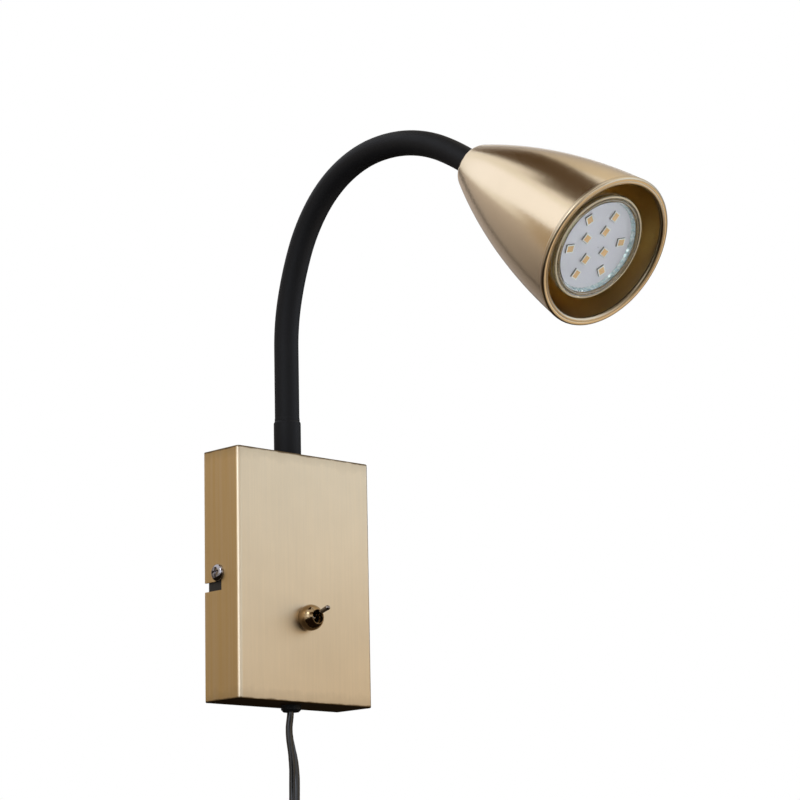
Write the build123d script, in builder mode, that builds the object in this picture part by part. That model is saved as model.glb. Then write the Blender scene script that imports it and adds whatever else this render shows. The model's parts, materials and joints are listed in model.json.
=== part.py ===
from build123d import *
import os
from math import cos, hypot, pi, radians, sin, sqrt, tan

# Plug-in wall lamp: a folded sheet box on the wall, a bendable neck and a spun metal shade.
# Millimetres. The wall is the plane Y = 0, the lamp faces -Y and +Z is up.
# The origin is the middle of the two wall-screw slots, at half the height of the box.

# Wall box, a folded sheet cover that hangs on the wall bracket
box_width = 84.0
box_height = 120.0
box_depth = 25.0
box_sheet = 1.0
box_bend = 2.0
box_edge = 0.6
slip = 0.3

# Wall bracket and the two screws that hold the cover to its ears
bracket_height = 22.0
bracket_sheet = 1.5
bracket_bend = 2.2
ear_rounding = 0.5
ear_reach = 16.0
wall_slot_spacing = 55.0
wall_slot_width = 4.5
wall_slot_length = 12.0
cover_screw_y = -10.0
cover_screw_z = 0.6
cover_screw_diameter = 4.0
cover_screw_head = 8.2
cover_screw_head_height = 2.4
cover_screw_length = 8.0
cover_screw_drop = 6.2
cover_screw_edge = 1.6
screw_recess_span = 4.3
screw_recess_width = 0.9
screw_recess_depth = 1.4
hook_slot_width = 4.4
thread_gap = 0.05

# Toggle switch in the front of the box
switch_z = -19.5
bushing_diameter = 6.0
bushing_wall = 0.5
bushing_front = 5.6
bushing_behind = 8.0
ball_nut_diameter = 12.6
ball_nut_centre = 3.0
ball_nut_front = 8.2
ball_nut_mouth = 6.8
switch_body_width = 13.2
switch_body_height = 13.0
switch_body_depth = 10.0
switch_body_corner = 0.8
terminal_width = 4.8
terminal_thickness = 0.8
terminal_spacing = 6.5
terminal_length = 3.6
lever_pivot = 3.5
lever_angle = 16.5
lever_length = 13.2
lever_root_diameter = 1.8
lever_tip_diameter = 2.5
lever_ball_gap = 0.2
lever_tail = 3.6
washer_thickness = 0.6
switch_nut_across_flats = 8.0
switch_nut_height = 2.0
switch_washer_rim = 0.5

# Neck: a steel core in a smooth black sleeve, cut where it bends
neck_y = -12.6
neck_diameter = 12.0
sleeve_wall = 1.5
core_gap = 0.1
lead_bore = 5.0
ball_step = 0.3
ball_clearance = 0.3
edge_land = 0.01
bend_groove = 1.6
collar_wall = 0.6
collar_height = 17.0
collar_taper = 3.0
first_bend_height = 22.0
lean_link_length = 16.5
lean_links = 2
nod_link_length = 23.9
nod_turns = (14, 10, 19, 23, 21, 16, 15, 9)

# Threaded ends of the neck
thread_diameter = 10.0
hole_gap = 0.1
nut_across_flats = 14.0
nut_height = 3.0
neck_thread_below = 14.0
neck_shoulder_height = 1.5
shoulder_step = 0.8
neck_washer_diameter = 18.0
fitting_barrel = 4.0
barrel_gap = 0.6
head_flange = 1.2

# Head: turned slightly to one side, as the neck was left in the photograph
head_turn = 3.5
shade_length = 94.5
shade_rim_diameter = 71.6
shade_middle_diameter = 53.6
shade_middle = 44.5
shade_back_diameter = 20.6
shade_back_rounding = 5.5
shade_wall = 0.8
shade_bead_diameter = 2.4
head_washer_diameter = 12.8
nipple_past_plate = 2.0

# Twist-lock reflector bulb with a board of ten light chips
bulb_diameter = 50.0
bulb_recess = 5.0
bulb_depth = 46.5
bulb_rim_height = 4.0
bulb_waist_depth = 24.0
bulb_waist_diameter = 33.0
bulb_base_diameter = 25.0
bulb_base_height = 11.0
bulb_wall = 3.0
lens_thickness = 1.5
board_diameter = 42.0
board_thickness = 1.2
board_depth = 3.4
chip_length = 3.5
chip_width = 2.8
chip_height = 0.7
outer_chips = 6
outer_chip_ring_diameter = 30.4
outer_chip_phase = 17.4
inner_chips = 4
inner_chip_ring_diameter = 15.0
inner_chip_phase = 75.0
pin_spacing = 10.0
pin_diameter = 3.0
pin_head_diameter = 5.0
pin_neck_length = 3.9
pin_head_length = 2.8
bulb_twist = 30.0

# Ceramic lamp holder and the plate that carries it
holder_diameter = 27.0
holder_height = 18.7
holder_front_wall = 3.0
holder_chamber = 5.2
holder_chamber_diameter = 16.4
holder_back_recess = 6.0
holder_back_bore = 13.0
holder_seat_gap = 0.3
holder_edge = 0.8
holder_screw_spacing = 21.6
holder_screw_diameter = 3.0
holder_screw_head = 4.8
holder_screw_sink = 2.6
holder_screw_head_height = 1.6
plate_diameter = 25.0
plate_thickness = 1.5

# Wiring block inside the box
block_x = -20.0
block_rise = 20.0
block_width = 17.0
block_height = 12.0
block_depth = 11.0
block_pole_spacing = 8.0
block_wire_hole = 3.6
block_screw_hole = 3.2
block_screw_depth = 3.4
block_corner = 1.0

# Mains lead: bushing, hanging cord, coil, tie and plug
cord_diameter = 5.2
cord_sides = 6
cord_y = -13.0
cord_gap = 0.15
grommet_diameter = 9.7
grommet_height = 3.2
grommet_neck_diameter = 7.0
grommet_barb_diameter = 8.6
grommet_barb_height = 4.0
grommet_edge = 1.1
cord_inside = 7.0
cord_sways = ((0.0, 0.0), (0.3, 0.4), (0.5, 0.3), (0.2, -0.2), (0.0, 0.0))
cord_heights = (-82.5, -102.0, -121.5, -141.2)
coil_centre_z = -166.0
coil_outer_radius = 34.5
coil_pitch = 5.8
coil_layer_turns = (2.0, 2.0, 2.0, 1.5)
cord_tail = 70.0
tie_width = 6.0
tie_thickness = 1.2
tie_corner = 3.0
plug_width = 35.0
plug_thickness = 13.7
plug_length = 34.0
plug_shoulder = 15.0
plug_neck_width = 15.0
plug_corner = 3.0
plug_sleeve_length = 20.0
plug_sleeve_diameter = 8.4
plug_sleeve_wall = 0.6
plug_sleeve_sunk = 2.0
plug_pin_diameter = 4.0
plug_pin_length = 19.0
plug_pin_spacing = 18.6
plug_pin_end = 1.0

os.makedirs("parts", exist_ok=True)


def write(piece, name):
    """Label a finished piece and write it under that name."""
    piece.part.label = name
    export_step(piece.part, f"parts/{name}.step")


def section_plane(origin, across, along):
    """A plane whose X runs across an axis and whose Y runs along it."""
    across, along = Vector(across), Vector(along)
    return Plane(origin=origin, x_dir=across, z_dir=across.cross(along))


# Wall box: cover

box_top = box_height / 2
inner_half_width = box_width / 2 - box_sheet
hook_slot_front = cover_screw_y - hook_slot_width / 2
hook_slot_foot = cover_screw_z - cover_screw_drop - hook_slot_width / 2
hook_slot_top = cover_screw_z + hook_slot_width / 2
switch_face = Plane(origin=(0, -box_depth, switch_z), x_dir=(1, 0, 0), z_dir=(0, -1, 0))
thread_radius = thread_diameter / 2
bushing_radius = bushing_diameter / 2
grommet_neck_radius = grommet_neck_diameter / 2

with BuildPart() as wall_cover:
    with BuildSketch(Plane.XY.offset(-box_top)):
        with Locations((0, -box_depth / 2)):
            Rectangle(box_width, box_depth)
    extrude(amount=box_height)
    fillet(wall_cover.edges().filter_by(Axis.Z).group_by(Axis.Y)[0], box_bend)
    offset(amount=-box_sheet, openings=wall_cover.faces().sort_by(Axis.Y)[-1])
    for end in (0, -1):
        outline = wall_cover.faces().sort_by(Axis.Z)[end].outer_wire().edges()
        fillet(outline.sort_by(Axis.Y)[:-1], box_edge)
    with Locations((0, neck_y, box_top)):
        Hole(thread_radius + hole_gap, depth=2 * box_sheet)
    with Locations(Plane(origin=(0, cord_y, -box_top), z_dir=(0, 0, -1))):
        Hole(grommet_neck_radius + hole_gap, depth=2 * box_sheet)
    with Locations(switch_face):
        Hole(bushing_radius + hole_gap, depth=2 * box_sheet)
    # Hook slots in both sides: in from the rear edge, then up to the screw
    with BuildSketch(Plane.YZ):
        with Locations((hook_slot_front / 2, hook_slot_foot + hook_slot_width / 2)):
            Rectangle(-hook_slot_front, hook_slot_width)
        with Locations((cover_screw_y, (hook_slot_foot + hook_slot_top) / 2)):
            SlotOverall(hook_slot_top - hook_slot_foot, hook_slot_width, rotation=90)
    extrude(amount=box_width, both=True, mode=Mode.SUBTRACT)
write(wall_cover, "wall_cover")

# Wall box: bracket on the wall, with an ear bent forward at each end

bracket_half_width = inner_half_width - slip

with BuildPart() as wall_bracket:
    with BuildSketch(Plane.XY.offset(-bracket_height / 2)) as bracket_bend_section:
        with Locations((0, -ear_reach / 2)):
            Rectangle(2 * bracket_half_width, ear_reach)
        fillet(bracket_bend_section.vertices().group_by(Axis.Y)[-1], bracket_bend)
        with BuildSketch(mode=Mode.PRIVATE) as bracket_hollow:
            with Locations((0, -bracket_sheet - ear_reach / 2)):
                Rectangle(2 * (bracket_half_width - bracket_sheet), ear_reach)
            fillet(bracket_hollow.vertices().group_by(Axis.Y)[-1], bracket_bend - bracket_sheet)
        add(bracket_hollow.sketch, mode=Mode.SUBTRACT)
    extrude(amount=bracket_height)
    fillet(wall_bracket.edges().filter_by(Axis.X).group_by(Axis.Y)[0], ear_rounding)
    with BuildSketch(Plane.XZ):
        with GridLocations(wall_slot_spacing, 0, 2, 1):
            SlotOverall(wall_slot_length, wall_slot_width)
    extrude(amount=bracket_sheet, mode=Mode.SUBTRACT)
    with BuildSketch(Plane.YZ):
        with Locations((cover_screw_y, cover_screw_z)):
            Circle(cover_screw_diameter / 2)
    extrude(amount=box_width, both=True, mode=Mode.SUBTRACT)
write(wall_bracket, "wall_bracket")

# Wall box: the two cross-recessed screws

with BuildPart() as cover_screws:
    for side in (-1, 1):
        seat = Plane(origin=(side * box_width / 2, cover_screw_y, cover_screw_z), z_dir=(side, 0, 0))
        with BuildSketch(seat):
            Circle(cover_screw_diameter / 2 - thread_gap)
        extrude(amount=-cover_screw_length)
        with BuildSketch(seat):
            Circle(cover_screw_head / 2)
        extrude(amount=cover_screw_head_height)
        fillet(cover_screws.edges().group_by(Axis.X)[0 if side < 0 else -1], cover_screw_edge)
        with BuildSketch(seat.offset(cover_screw_head_height)):
            Rectangle(screw_recess_span, screw_recess_width)
            Rectangle(screw_recess_width, screw_recess_span)
        extrude(amount=-screw_recess_depth, mode=Mode.SUBTRACT)
write(cover_screws, "cover_screws")

# Toggle switch, built outwards from the front face of the box

switch_section = section_plane(switch_face.origin, switch_face.x_dir, switch_face.z_dir)
switch_axis = Axis(switch_face.origin, switch_face.z_dir)
bushing_bore = bushing_radius - bushing_wall
switch_nut_seat = -box_sheet - washer_thickness
body_back = bushing_behind + switch_body_depth

with BuildPart() as switch_body:
    with BuildSketch(switch_face.offset(-body_back)):
        RectangleRounded(switch_body_width, switch_body_height, switch_body_corner)
    extrude(amount=switch_body_depth)
write(switch_body, "switch_body")

with BuildPart() as switch_bushing:
    with BuildSketch(switch_face.offset(-bushing_behind)):
        Circle(bushing_radius)
        Circle(bushing_bore, mode=Mode.SUBTRACT)
    extrude(amount=bushing_behind + bushing_front)
write(switch_bushing, "switch_bushing")

with BuildPart() as switch_ball_nut:
    with BuildSketch(switch_section):
        with Locations((0, ball_nut_centre)):
            Circle(ball_nut_diameter / 2)
        with Locations((0, ball_nut_front / 2)):
            Rectangle(ball_nut_diameter, ball_nut_front, mode=Mode.INTERSECT)
        with Locations((-ball_nut_diameter / 2, ball_nut_centre)):
            Rectangle(ball_nut_diameter, 2 * ball_nut_diameter, mode=Mode.SUBTRACT)
        Rectangle(bushing_diameter + 2 * hole_gap, 4 * ball_nut_front, mode=Mode.SUBTRACT)
        with Locations((0, ball_nut_front)):
            Rectangle(ball_nut_mouth, 2 * (ball_nut_front - bushing_front), mode=Mode.SUBTRACT)
    revolve(axis=switch_axis)
write(switch_ball_nut, "switch_ball_nut")

with BuildPart() as switch_washer:
    with BuildSketch(switch_face.offset(-box_sheet)):
        Circle(switch_nut_across_flats / 2 + switch_washer_rim)
        Circle(bushing_radius + hole_gap, mode=Mode.SUBTRACT)
    extrude(amount=-washer_thickness)
write(switch_washer, "switch_washer")

with BuildPart() as switch_back_nut:
    with BuildSketch(switch_face.offset(switch_nut_seat)):
        RegularPolygon(switch_nut_across_flats / 2, 6, major_radius=False)
        Circle(bushing_radius + thread_gap, mode=Mode.SUBTRACT)
    extrude(amount=-switch_nut_height)
write(switch_back_nut, "switch_back_nut")

with BuildPart() as switch_terminals:
    with BuildSketch(switch_face.offset(-body_back)):
        with GridLocations(0, terminal_spacing, 1, 2):
            Rectangle(terminal_width, terminal_thickness)
    extrude(amount=-terminal_length)
write(switch_terminals, "switch_terminals")

# Lever: a ball in the bushing, a tail behind it and a round-tipped arm that points up at rest
lever_origin = switch_face.from_local_coords((0, 0, lever_pivot))
lever_along = Vector(0, -cos(radians(lever_angle)), sin(radians(lever_angle)))
lever_section = section_plane(lever_origin, (1, 0, 0), lever_along)
lever_ball_radius = bushing_bore - lever_ball_gap
lever_tip_radius = lever_tip_diameter / 2

with BuildPart() as switch_lever:
    with BuildSketch(lever_section):
        with BuildLine():
            Polyline(
                (0, -lever_tail),
                (lever_root_diameter / 2, -lever_tail),
                (lever_root_diameter / 2, lever_ball_radius),
                (lever_tip_radius, lever_length - lever_tip_radius),
                (0, lever_length - lever_tip_radius),
                close=True,
            )
        make_face()
        with BuildLine():
            CenterArc((0, 0), lever_ball_radius, -90, 180)
            Line((0, lever_ball_radius), (0, -lever_ball_radius))
        make_face()
        with BuildLine():
            CenterArc((0, lever_length - lever_tip_radius), lever_tip_radius, 0, 90)
            Line((0, lever_length), (0, lever_length - lever_tip_radius))
            Line((0, lever_length - lever_tip_radius), (lever_tip_radius, lever_length - lever_tip_radius))
        make_face()
    revolve(axis=Axis(lever_origin, lever_along))
write(switch_lever, "switch_lever")

# Neck base: threaded fitting, its washer and nut under the top of the box, and the black collar

neck_foot = Vector(0, neck_y, box_top)
neck_radius = neck_diameter / 2
sleeve_bore = neck_radius - sleeve_wall
core_radius = sleeve_bore - core_gap
lead_radius = lead_bore / 2
ball_radius = neck_radius - ball_step
socket_radius = ball_radius + ball_clearance
neck_foot_section = section_plane(neck_foot, (1, 0, 0), (0, 0, 1))
neck_foot_axis = Axis(neck_foot, (0, 0, 1))
first_bend = neck_foot + Vector(0, 0, first_bend_height)
barrel_top = first_bend_height - socket_radius
shoulder_radius = thread_radius + shoulder_step
collar_radius = max(neck_radius, shoulder_radius + core_gap) + collar_wall

with BuildPart() as neck_fitting:
    with BuildSketch(neck_foot_section):
        with BuildLine():
            Polyline(
                (lead_radius, -neck_thread_below),
                (thread_radius - thread_gap, -neck_thread_below),
                (thread_radius - thread_gap, 0),
                (shoulder_radius, 0),
                (shoulder_radius, neck_shoulder_height),
                (core_radius, neck_shoulder_height),
                (core_radius, barrel_top),
                (lead_radius, barrel_top),
                close=True,
            )
        make_face()
    revolve(axis=neck_foot_axis)
write(neck_fitting, "neck_fitting")

with BuildPart() as neck_collar:
    with BuildSketch(neck_foot_section):
        with BuildLine():
            Polyline(
                (shoulder_radius + core_gap, 0),
                (collar_radius, 0),
                (collar_radius, collar_height),
                (neck_radius, collar_height + collar_taper),
                (neck_radius, first_bend_height - bend_groove),
                (sleeve_bore, first_bend_height - bend_groove),
                (sleeve_bore, neck_shoulder_height + core_gap),
                (shoulder_radius + core_gap, neck_shoulder_height + core_gap),
                close=True,
            )
        make_face()
    revolve(axis=neck_foot_axis)
    with Locations(first_bend):
        Sphere(socket_radius, mode=Mode.SUBTRACT)
write(neck_collar, "neck_collar")

with BuildPart() as neck_washer:
    with BuildSketch(Plane(neck_foot).offset(-box_sheet)):
        Circle(neck_washer_diameter / 2)
        Circle(thread_radius + hole_gap, mode=Mode.SUBTRACT)
    extrude(amount=-washer_thickness)
write(neck_washer, "neck_washer")

with BuildPart() as neck_nut:
    with BuildSketch(Plane(neck_foot).offset(-box_sheet - washer_thickness)):
        RegularPolygon(nut_across_flats / 2, 6, major_radius=False)
        Circle(thread_radius, mode=Mode.SUBTRACT)
    extrude(amount=-nut_height)
write(neck_nut, "neck_nut")

# Neck links: each starts with a ball in the socket of the link before it

link_lengths = [lean_link_length] * lean_links + [nod_link_length] * len(nod_turns)
link_turns = [0.0] * lean_links + list(nod_turns)


def heading_vector(heading):
    """Direction of the neck at a heading in degrees: 90 is straight up, 0 is straight ahead."""
    return Vector(0, -cos(radians(heading)), sin(radians(heading)))


def walk(start, heading, length, turn):
    """The point at the end of an arc of this length that bends forward by turn degrees."""
    chord = length
    if turn:
        chord = 2 * length / radians(turn) * sin(radians(turn) / 2)
    return start + heading_vector(heading - turn / 2) * chord


def bent_tube(start, heading, length, turn, outer, inner):
    """A tube along one link, straight or bent to an arc in the plane of the neck."""
    with BuildLine(Plane.YZ) as path:
        direction = heading_vector(heading)
        if turn:
            radius = length / radians(turn)
            JernArc((start.Y, start.Z), (direction.Y, direction.Z), radius, turn)
        else:
            end = start + direction * length
            Line((start.Y, start.Z), (end.Y, end.Z))
    with BuildSketch(Plane(origin=start, x_dir=(1, 0, 0), z_dir=heading_vector(heading))) as ring:
        Circle(outer)
        Circle(inner, mode=Mode.SUBTRACT)
    sweep(ring.sketch, path=path.line)


def ball_end(start, heading):
    """The part of the sleeve's ball about start that lies behind it."""
    along = heading_vector(heading)
    outer = ball_radius - edge_land
    foot = sqrt(ball_radius**2 - outer**2)
    drop = sqrt(ball_radius**2 - sleeve_bore**2)
    with BuildSketch(section_plane(start, (1, 0, 0), along)) as zone:
        with BuildLine():
            Polyline((outer, -foot), (outer, 0), (sleeve_bore, 0), (sleeve_bore, -drop))
            RadiusArc((sleeve_bore, -drop), (outer, -foot), -ball_radius)
        make_face()
    revolve(zone.sketch, axis=Axis(start, along))


bend_points = [first_bend]
bend_headings = [90.0]
for length, turn in zip(link_lengths, link_turns):
    bend_points.append(walk(bend_points[-1], bend_headings[-1], length, turn))
    bend_headings.append(bend_headings[-1] - turn)

# Head frame: its origin is the back of the shade and its Z runs along the shade to the rim
head_slope = radians(bend_headings[-1])
head_side = radians(head_turn)
head_along = Vector(sin(head_side) * cos(head_slope), -cos(head_side) * cos(head_slope), sin(head_slope))
head = Plane(origin=bend_points[-1], x_dir=(cos(head_side), sin(head_side), 0), z_dir=head_along)
head_section = section_plane(head.origin, head.x_dir, head.z_dir)
head_axis = Axis(head.origin, head.z_dir)
fitting_back = head_flange + fitting_barrel
flange_radius = max(neck_radius, shoulder_radius)
link_count = len(link_lengths)

for number, (length, turn) in enumerate(zip(link_lengths, link_turns), start=1):
    start, next_bend = bend_points[number - 1], bend_points[number]
    heading = bend_headings[number - 1]
    last = number == link_count
    sleeve_length = length if last else length - bend_groove
    core_length = length - barrel_gap - (fitting_back if last else socket_radius)

    with BuildPart() as neck_sleeve:
        bent_tube(start, heading, sleeve_length, turn * sleeve_length / length, neck_radius, sleeve_bore)
        ball_end(start, heading)
        if last:
            split(bisect_by=head.offset(-head_flange), keep=Keep.BOTTOM)
        else:
            with Locations(next_bend):
                Sphere(socket_radius, mode=Mode.SUBTRACT)
    write(neck_sleeve, f"neck_sleeve_{number}")

    with BuildPart() as neck_core:
        bent_tube(start, heading, core_length, turn * core_length / length, core_radius, lead_radius)
    write(neck_core, f"neck_core_{number}")

# Head: everything is built along the axis of the shade, from its back towards its rim

bulb_front = shade_length - bulb_recess
bulb_base = bulb_front - bulb_depth
holder_front = bulb_base - holder_seat_gap
holder_back = holder_front - holder_height
nipple_end = holder_back + nipple_past_plate

with BuildPart() as head_fitting:
    with BuildSketch(head_section):
        with BuildLine():
            Polyline(
                (lead_radius, -fitting_back),
                (core_radius - barrel_gap, -fitting_back),
                (core_radius - barrel_gap, -head_flange),
                (flange_radius, -head_flange),
                (flange_radius, 0),
                (thread_radius - thread_gap, 0),
                (thread_radius - thread_gap, nipple_end),
                (lead_radius, nipple_end),
                close=True,
            )
        make_face()
    revolve(axis=head_axis)
write(head_fitting, "head_fitting")


def bullet_outline(inset, length):
    """Half section of the shade's bullet form, drawn in by inset all round."""
    with BuildSketch(mode=Mode.PRIVATE) as outline:
        with BuildLine():
            Line((0, inset), (shade_back_diameter / 2 - inset, inset))
            ThreePointArc(
                (shade_back_diameter / 2 - inset, inset),
                (shade_middle_diameter / 2 - inset, shade_middle),
                (shade_rim_diameter / 2 - inset, length),
            )
            Polyline((shade_rim_diameter / 2 - inset, length), (0, length), (0, inset))
        make_face()
        corner = outline.vertices().sort_by_distance((shade_back_diameter / 2 - inset, inset))[0]
        fillet(corner, shade_back_rounding - inset)
    return outline.sketch


bead_radius = shade_bead_diameter / 2
rim_radius = shade_rim_diameter / 2

with BuildPart() as shade:
    with BuildSketch(head_section):
        add(bullet_outline(0, shade_length - bead_radius))
        add(bullet_outline(shade_wall, shade_length - bead_radius), mode=Mode.SUBTRACT)
        Rectangle(thread_diameter + 2 * hole_gap, 4 * shade_wall, mode=Mode.SUBTRACT)
        with Locations((rim_radius - bead_radius, shade_length - bead_radius)):
            Circle(bead_radius)
    revolve(axis=head_axis)
write(shade, "shade")

with BuildPart() as head_washer:
    with BuildSketch(head.offset(shade_wall)):
        Circle(head_washer_diameter / 2)
        Circle(thread_radius + hole_gap, mode=Mode.SUBTRACT)
    extrude(amount=washer_thickness)
write(head_washer, "head_washer")

with BuildPart() as head_nut:
    with BuildSketch(head.offset(shade_wall + washer_thickness)):
        RegularPolygon(nut_across_flats / 2, 6, major_radius=False)
        Circle(thread_radius, mode=Mode.SUBTRACT)
    extrude(amount=nut_height)
write(head_nut, "head_nut")

# Lamp holder on its plate, at the end of the threaded tube

chamber_front = holder_front - holder_front_wall
pin_ring = pin_spacing / 2

with BuildPart() as holder_plate:
    with BuildSketch(head.offset(holder_back)):
        Circle(plate_diameter / 2)
        Circle(thread_radius, mode=Mode.SUBTRACT)
        with GridLocations(0, holder_screw_spacing, 1, 2):
            Circle(holder_screw_diameter / 2, mode=Mode.SUBTRACT)
    extrude(amount=-plate_thickness)
write(holder_plate, "holder_plate")

with BuildPart() as holder_nut:
    with BuildSketch(head.offset(holder_back - plate_thickness)):
        RegularPolygon(nut_across_flats / 2, 6, major_radius=False)
        Circle(thread_radius, mode=Mode.SUBTRACT)
    extrude(amount=-nut_height)
write(holder_nut, "holder_nut")

with BuildPart() as lamp_holder:
    with BuildSketch(head.offset(holder_back)):
        Circle(holder_diameter / 2)
    extrude(amount=holder_height)
    chamfer(lamp_holder.edges().filter_by(GeomType.CIRCLE), holder_edge)
    with BuildSketch(head.offset(holder_back)):
        Circle(holder_back_bore / 2)
    extrude(amount=holder_back_recess, mode=Mode.SUBTRACT)
    with BuildSketch(head.offset(chamber_front)):
        Circle(holder_chamber_diameter / 2)
    extrude(amount=-holder_chamber, mode=Mode.SUBTRACT)
    # A curved slot for each pin, with a wide end where its head drops in
    with BuildSketch(head.offset(holder_front)):
        with PolarLocations(0, 2):
            with BuildLine() as slot_line:
                CenterArc((0, 0), pin_ring, 0, bulb_twist)
            SlotArc(slot_line.edges()[0], pin_diameter + 2 * ball_clearance)
        with PolarLocations(pin_ring, 2, start_angle=bulb_twist):
            Circle(pin_head_diameter / 2 + ball_clearance)
    extrude(amount=-holder_front_wall, mode=Mode.SUBTRACT)
    with BuildSketch(head.offset(holder_front)):
        with GridLocations(0, holder_screw_spacing, 1, 2):
            Circle(holder_screw_diameter / 2)
    extrude(amount=-holder_height, mode=Mode.SUBTRACT)
    with BuildSketch(head.offset(holder_front)):
        with GridLocations(0, holder_screw_spacing, 1, 2):
            Circle(holder_screw_head / 2 + hole_gap)
    extrude(amount=-holder_screw_sink, mode=Mode.SUBTRACT)
write(lamp_holder, "lamp_holder")

with BuildPart() as holder_screws:
    with BuildSketch(head.offset(holder_front - holder_screw_sink)):
        with GridLocations(0, holder_screw_spacing, 1, 2):
            Circle(holder_screw_diameter / 2 - thread_gap)
    extrude(amount=-(holder_height - holder_screw_sink + plate_thickness))
    with BuildSketch(head.offset(holder_front - holder_screw_sink)):
        with GridLocations(0, holder_screw_spacing, 1, 2):
            Circle(holder_screw_head / 2)
    extrude(amount=holder_screw_head_height)
write(holder_screws, "holder_screws")

# Bulb: glass body with a stepped mouth, front glass, chip board and two headed pins

bulb_radius = bulb_diameter / 2
base_radius = bulb_base_diameter / 2
bulb_base_top = bulb_base + bulb_base_height
board_radius = board_diameter / 2
lens_radius = bulb_radius - bulb_wall
board_front = bulb_front - board_depth
board_back = board_front - board_thickness

with BuildPart() as bulb_body:
    with BuildSketch(head_section):
        with BuildLine():
            Polyline((0, bulb_base), (base_radius, bulb_base), (base_radius, bulb_base_top))
            ThreePointArc(
                (base_radius, bulb_base_top),
                (bulb_waist_diameter / 2, bulb_front - bulb_waist_depth),
                (bulb_radius, bulb_front - bulb_rim_height),
            )
            Polyline(
                (bulb_radius, bulb_front - bulb_rim_height),
                (bulb_radius, bulb_front),
                (lens_radius, bulb_front),
                (lens_radius, bulb_front - lens_thickness),
                (board_radius + hole_gap, bulb_front - lens_thickness),
                (board_radius + hole_gap, board_back),
                (0, board_back),
                (0, bulb_base),
            )
        make_face()
    revolve(axis=head_axis)
write(bulb_body, "bulb_body")

with BuildPart() as bulb_lens:
    with BuildSketch(head.offset(bulb_front)):
        Circle(lens_radius - hole_gap)
    extrude(amount=-lens_thickness)
write(bulb_lens, "bulb_lens")

with BuildPart() as chip_board:
    with BuildSketch(head.offset(board_front)):
        Circle(board_radius)
    extrude(amount=-board_thickness)
write(chip_board, "chip_board")

with BuildPart() as light_chips:
    with BuildSketch(head.offset(board_front)):
        with PolarLocations(outer_chip_ring_diameter / 2, outer_chips, outer_chip_phase):
            Rectangle(chip_length, chip_width)
        with PolarLocations(inner_chip_ring_diameter / 2, inner_chips, inner_chip_phase):
            Rectangle(chip_length, chip_width)
    extrude(amount=chip_height)
write(light_chips, "light_chips")

with BuildPart() as bulb_pins:
    with BuildSketch(head.offset(bulb_base)):
        with GridLocations(pin_spacing, 0, 2, 1):
            Circle(pin_diameter / 2)
    extrude(amount=-pin_neck_length)
    with BuildSketch(head.offset(bulb_base - pin_neck_length)):
        with GridLocations(pin_spacing, 0, 2, 1):
            Circle(pin_head_diameter / 2)
    extrude(amount=-pin_head_length)
write(bulb_pins, "bulb_pins")

# Wiring block on the inside of the box front

block_z = -box_top + block_rise
block_seat = Plane(origin=(block_x, -box_depth + box_sheet, block_z), x_dir=(1, 0, 0), z_dir=(0, 1, 0))

with BuildPart() as wiring_block:
    with BuildSketch(block_seat):
        RectangleRounded(block_width, block_height, block_corner)
    extrude(amount=block_depth)
    with BuildSketch(block_seat.offset(block_depth)):
        with GridLocations(block_pole_spacing, block_height / 2, 2, 2):
            Circle(block_screw_hole / 2)
    extrude(amount=-block_screw_depth, mode=Mode.SUBTRACT)
    with BuildSketch(Plane.XY.offset(block_z)):
        with Locations((block_x, -box_depth + box_sheet + block_depth / 2)):
            with GridLocations(block_pole_spacing, 0, 2, 1):
                Circle(block_wire_hole / 2)
    extrude(amount=block_height, both=True, mode=Mode.SUBTRACT)
write(wiring_block, "wiring_block")

# Cord bushing in the floor of the box

cord_radius = cord_diameter / 2
grommet_axis = Axis((0, cord_y, -box_top), (0, 0, 1))
grommet_section = section_plane((0, cord_y, -box_top), (1, 0, 0), (0, 0, 1))
grommet_bore = cord_radius + cord_gap
cord_exit_z = -box_top - grommet_height

with BuildPart() as cord_grommet:
    with BuildSketch(grommet_section):
        with BuildLine():
            Polyline(
                (grommet_bore, -grommet_height),
                (grommet_diameter / 2 - grommet_edge, -grommet_height),
                (grommet_diameter / 2, grommet_edge - grommet_height),
                (grommet_diameter / 2, 0),
                (grommet_neck_radius, 0),
                (grommet_neck_radius, box_sheet),
                (grommet_barb_diameter / 2, box_sheet),
                (grommet_neck_radius, box_sheet + grommet_barb_height),
                (grommet_bore, box_sheet + grommet_barb_height),
                close=True,
            )
        make_face()
    revolve(axis=grommet_axis)
write(cord_grommet, "cord_grommet")

# Hanging cord, from inside the box to the start of the coil

cord_start_z = -box_top + cord_inside
coil_lead_in = cord_diameter
coil_start_z = coil_centre_z + coil_lead_in
cord_levels = (cord_exit_z, *cord_heights)
cord_route = [Vector(x, cord_y + y, z) for (x, y), z in zip(cord_sways, cord_levels)]
cord_route = [Vector(0, cord_y, cord_start_z), *cord_route, Vector(0, cord_y, coil_start_z)]


def rounding_radii(route):
    """The largest arc that suits each corner: 0.45 of the shorter run over tan of half the turn."""
    radii = []
    for before, corner, after in zip(route, route[1:], route[2:]):
        turn = radians((corner - before).get_angle(after - corner))
        shorter = min((corner - before).length, (after - corner).length)
        radii.append(0.45 * shorter / tan(turn / 2))
    return radii


cord_radii = rounding_radii(cord_route)
print("cord radii", [round(radius) for radius in cord_radii])

with BuildPart() as power_cord:
    with BuildLine() as cord_line:
        FilletPolyline(*cord_route, radius=cord_radii)
    with BuildSketch(Plane(origin=cord_route[0], x_dir=(1, 0, 0), z_dir=(0, 0, -1))) as cord_section:
        RegularPolygon(cord_radius, cord_sides)
    sweep()
write(power_cord, "power_cord")
cord_length = cord_line.wire().length
print("cord volume ratio", power_cord.part.volume / (cord_section.sketch.area * cord_length))

# Coil of the spare length, hanging in front of the wall: four layers side by side along X.
# It spirals in, crosses to the next layer in the half turn where the spiral reverses, then out.

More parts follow.
